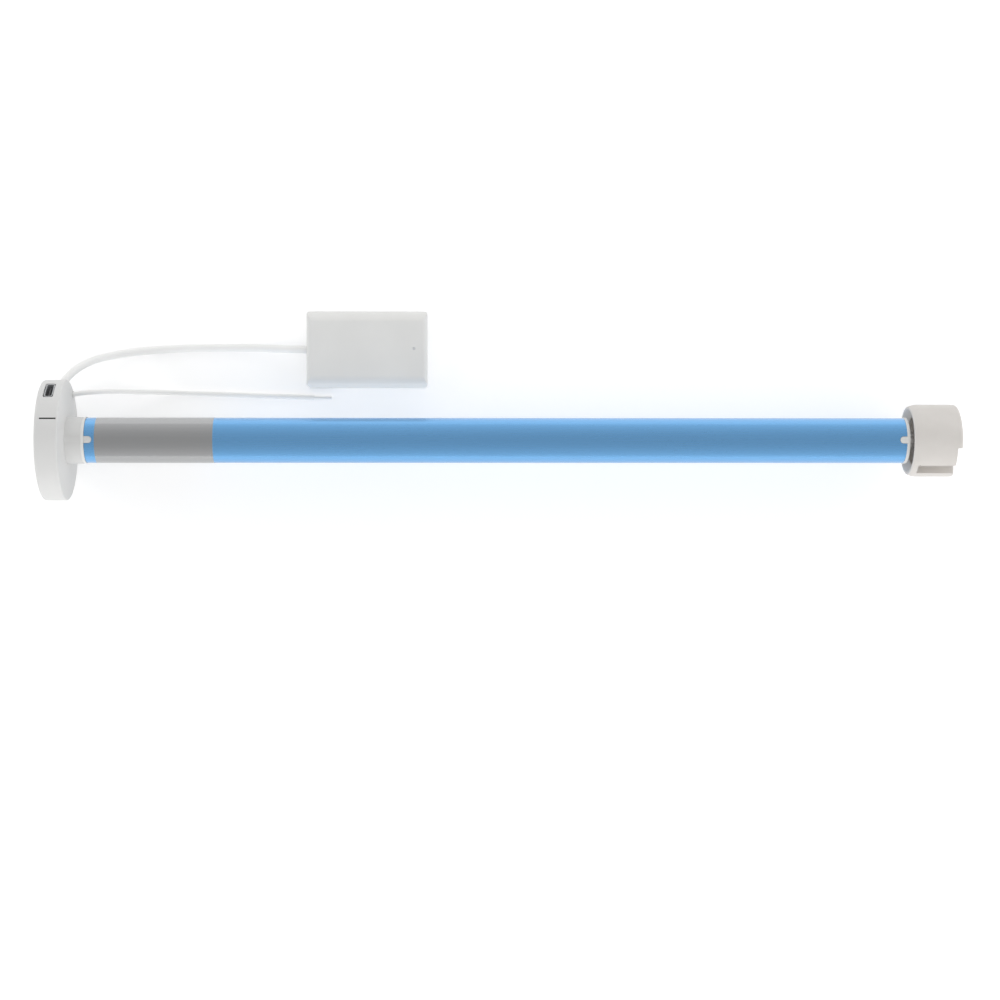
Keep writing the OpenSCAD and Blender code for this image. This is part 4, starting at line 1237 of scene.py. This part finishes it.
@dataclass
class Studio:
    """Camera, white floor, soft lamps and the sky that the metal reflects.

    The lamps only fill the matt pieces: the metal takes its bands from the sky and the floor.
    The front lamp stands low, so that some of its light passes under the tube to the module.
    The eye and the floor's height are in millimetres, and lamps and the floor's size in metres.
    """

    eye: Point = (155.0, -23.7, 800.0)
    lens: float = 72.4
    sensor: float = 36.0
    sideways: float = 0.03
    lean: float = 0.97
    floor_height: float = -23.9
    floor_size: float = 40.0
    floor_colour: str = "#f2f2f2"
    floor_lift: float = 0.19
    near_lift: float = 0.11
    near_floor: float = 0.5
    far_lift: float = 0.42
    far_floor: float = 1.5
    sky_colour: str = "#ffffff"
    horizon: float = 0.81
    zenith: float = 0.512
    lamp_width: float = 1.6
    lamp_aim: Point = (0.18, 0.0, 0.0)
    lamps: tuple[Softbox, ...] = (
        Softbox("softbox_front", (0.18, -1.2, 0.12), 6.0, 0.2),
        Softbox("softbox_top", (0.18, -0.35, 1.2), 1.3),
        Softbox("softbox_back", (0.18, 1.2, 0.5), 3.8),
        Softbox("softbox_left", (-1.0, 0.0, 0.45), 4.0),
        Softbox("softbox_right", (1.35, 0.0, 0.45), 4.8),
    )

    def build(self) -> None:
        """Sets the stage."""
        bpy.context.scene.view_settings.view_transform = "Standard"
        self.build_camera()
        self.build_floor()
        self.build_sky()
        for softbox in self.lamps:
            self.build_lamp(softbox)

    def build_camera(self) -> None:
        """Looks down on the motor from nearer its head, as the photograph does."""
        data = bpy.data.cameras.new("plan_camera")
        data.lens = self.lens
        data.sensor_width = self.sensor
        data.shift_x = self.sideways
        camera = bpy.data.objects.new("plan_camera", data)
        camera.location = Vector(self.eye) * MM
        camera.rotation_euler = (0.0, -math.radians(self.lean), 0.0)
        bpy.context.scene.collection.objects.link(camera)
        bpy.context.scene.camera = camera

    def build_floor(self) -> None:
        """Lays a pale floor that stays white far out, where the lamps fade, and keeps the shadow."""
        made = bmesh.new()
        bmesh.ops.create_grid(made, x_segments=1, y_segments=1, size=self.floor_size / 2)
        floor = object_from("floor", made)
        floor.location.z = self.floor_height * MM
        paper = bpy.data.materials.new("White paper sweep")
        paper.use_nodes = True
        tree = paper.node_tree
        tree.nodes.clear()
        matt = add_node(tree, "ShaderNodeBsdfDiffuse", {"Color": linear(self.floor_colour)})
        path = add_node(tree, "ShaderNodeLightPath")
        seen = add_node(
            tree,
            "ShaderNodeMath",
            {"operation": "MAXIMUM"},
            {0: path.outputs["Is Camera Ray"], 1: path.outputs["Is Transmission Ray"]},
        )
        shown = add_node(
            tree,
            "ShaderNodeMath",
            {"operation": "MAXIMUM"},
            {0: seen.outputs[0], 1: path.outputs["Is Glossy Ray"]},
        )
        here = add_node(tree, "ShaderNodeTexCoord")
        away = add_node(
            tree, "ShaderNodeVectorMath", {"operation": "LENGTH"}, {0: here.outputs["Object"]}
        )
        glow = add_node(
            tree,
            "ShaderNodeMapRange",
            {
                "From Min": self.near_floor,
                "From Max": self.far_floor,
                "To Min": self.near_lift,
                "To Max": self.far_lift,
            },
            {"Value": away.outputs["Value"]},
        )
        far = add_node(
            tree,
            "ShaderNodeMath",
            {"operation": "MULTIPLY"},
            {0: path.outputs["Is Camera Ray"], 1: glow.outputs[0]},
        )
        level = add_node(
            tree,
            "ShaderNodeMath",
            {"operation": "MULTIPLY_ADD", 1: self.floor_lift},
            {0: shown.outputs[0], 2: far.outputs[0]},
        )
        lift = add_node(tree, "ShaderNodeEmission", links={"Strength": level.outputs[0]})
        both = add_node(tree, "ShaderNodeAddShader", links={0: matt.outputs[0], 1: lift.outputs[0]})
        add_node(tree, "ShaderNodeOutputMaterial", links={"Surface": both.outputs[0]})
        floor.data.materials.append(paper)

    def build_sky(self) -> None:
        """Makes a sky that is bright at the horizon and dimmer overhead."""
        world = bpy.data.worlds.new("studio")
        world.use_nodes = True
        tree = world.node_tree
        tree.nodes.clear()
        here = add_node(tree, "ShaderNodeTexCoord")
        up = add_node(tree, "ShaderNodeSeparateXYZ", links={0: here.outputs["Generated"]})
        level = add_node(
            tree,
            "ShaderNodeMapRange",
            {"From Min": 0.0, "From Max": 1.0, "To Min": self.horizon, "To Max": self.zenith},
            {"Value": up.outputs["Z"]},
        )
        sky = add_node(
            tree,
            "ShaderNodeBackground",
            {"Color": linear(self.sky_colour)},
            {"Strength": level.outputs[0]},
        )
        add_node(tree, "ShaderNodeOutputWorld", links={"Surface": sky.outputs[0]})
        bpy.context.scene.world = world

    def build_lamp(self, softbox: Softbox) -> None:
        """Stands one long softbox beside or above the motor.

        Args:
            softbox: The lamp's place, power and size.
        """
        data = bpy.data.lights.new(softbox.name, "AREA")
        data.shape = "RECTANGLE"
        data.size = self.lamp_width
        data.size_y = softbox.tall
        data.energy = softbox.power
        lamp = bpy.data.objects.new(softbox.name, data)
        lamp.location = softbox.place
        lamp.visible_glossy = False
        aim = Vector(self.lamp_aim) - Vector(softbox.place)
        lamp.rotation_euler = aim.to_track_quat("-Z", "Y").to_euler()
        bpy.context.scene.collection.objects.link(lamp)


def main() -> None:
    """Loads the frame, builds the stage and every sub-assembly."""
    logging.basicConfig(level=logging.INFO, format="%(name)s: %(message)s")
    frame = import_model()
    palette = Palette()
    nodes = frame["nodes"]
    Studio().build()
    for kind in (Cords, Head, TubeWithLabel, DrivenEnd, RadioModule, Drivetrain):
        LOG.info("sub-assembly %s", kind.__name__)
        kind(nodes, palette).build()


if __name__ == "__main__":
    main()
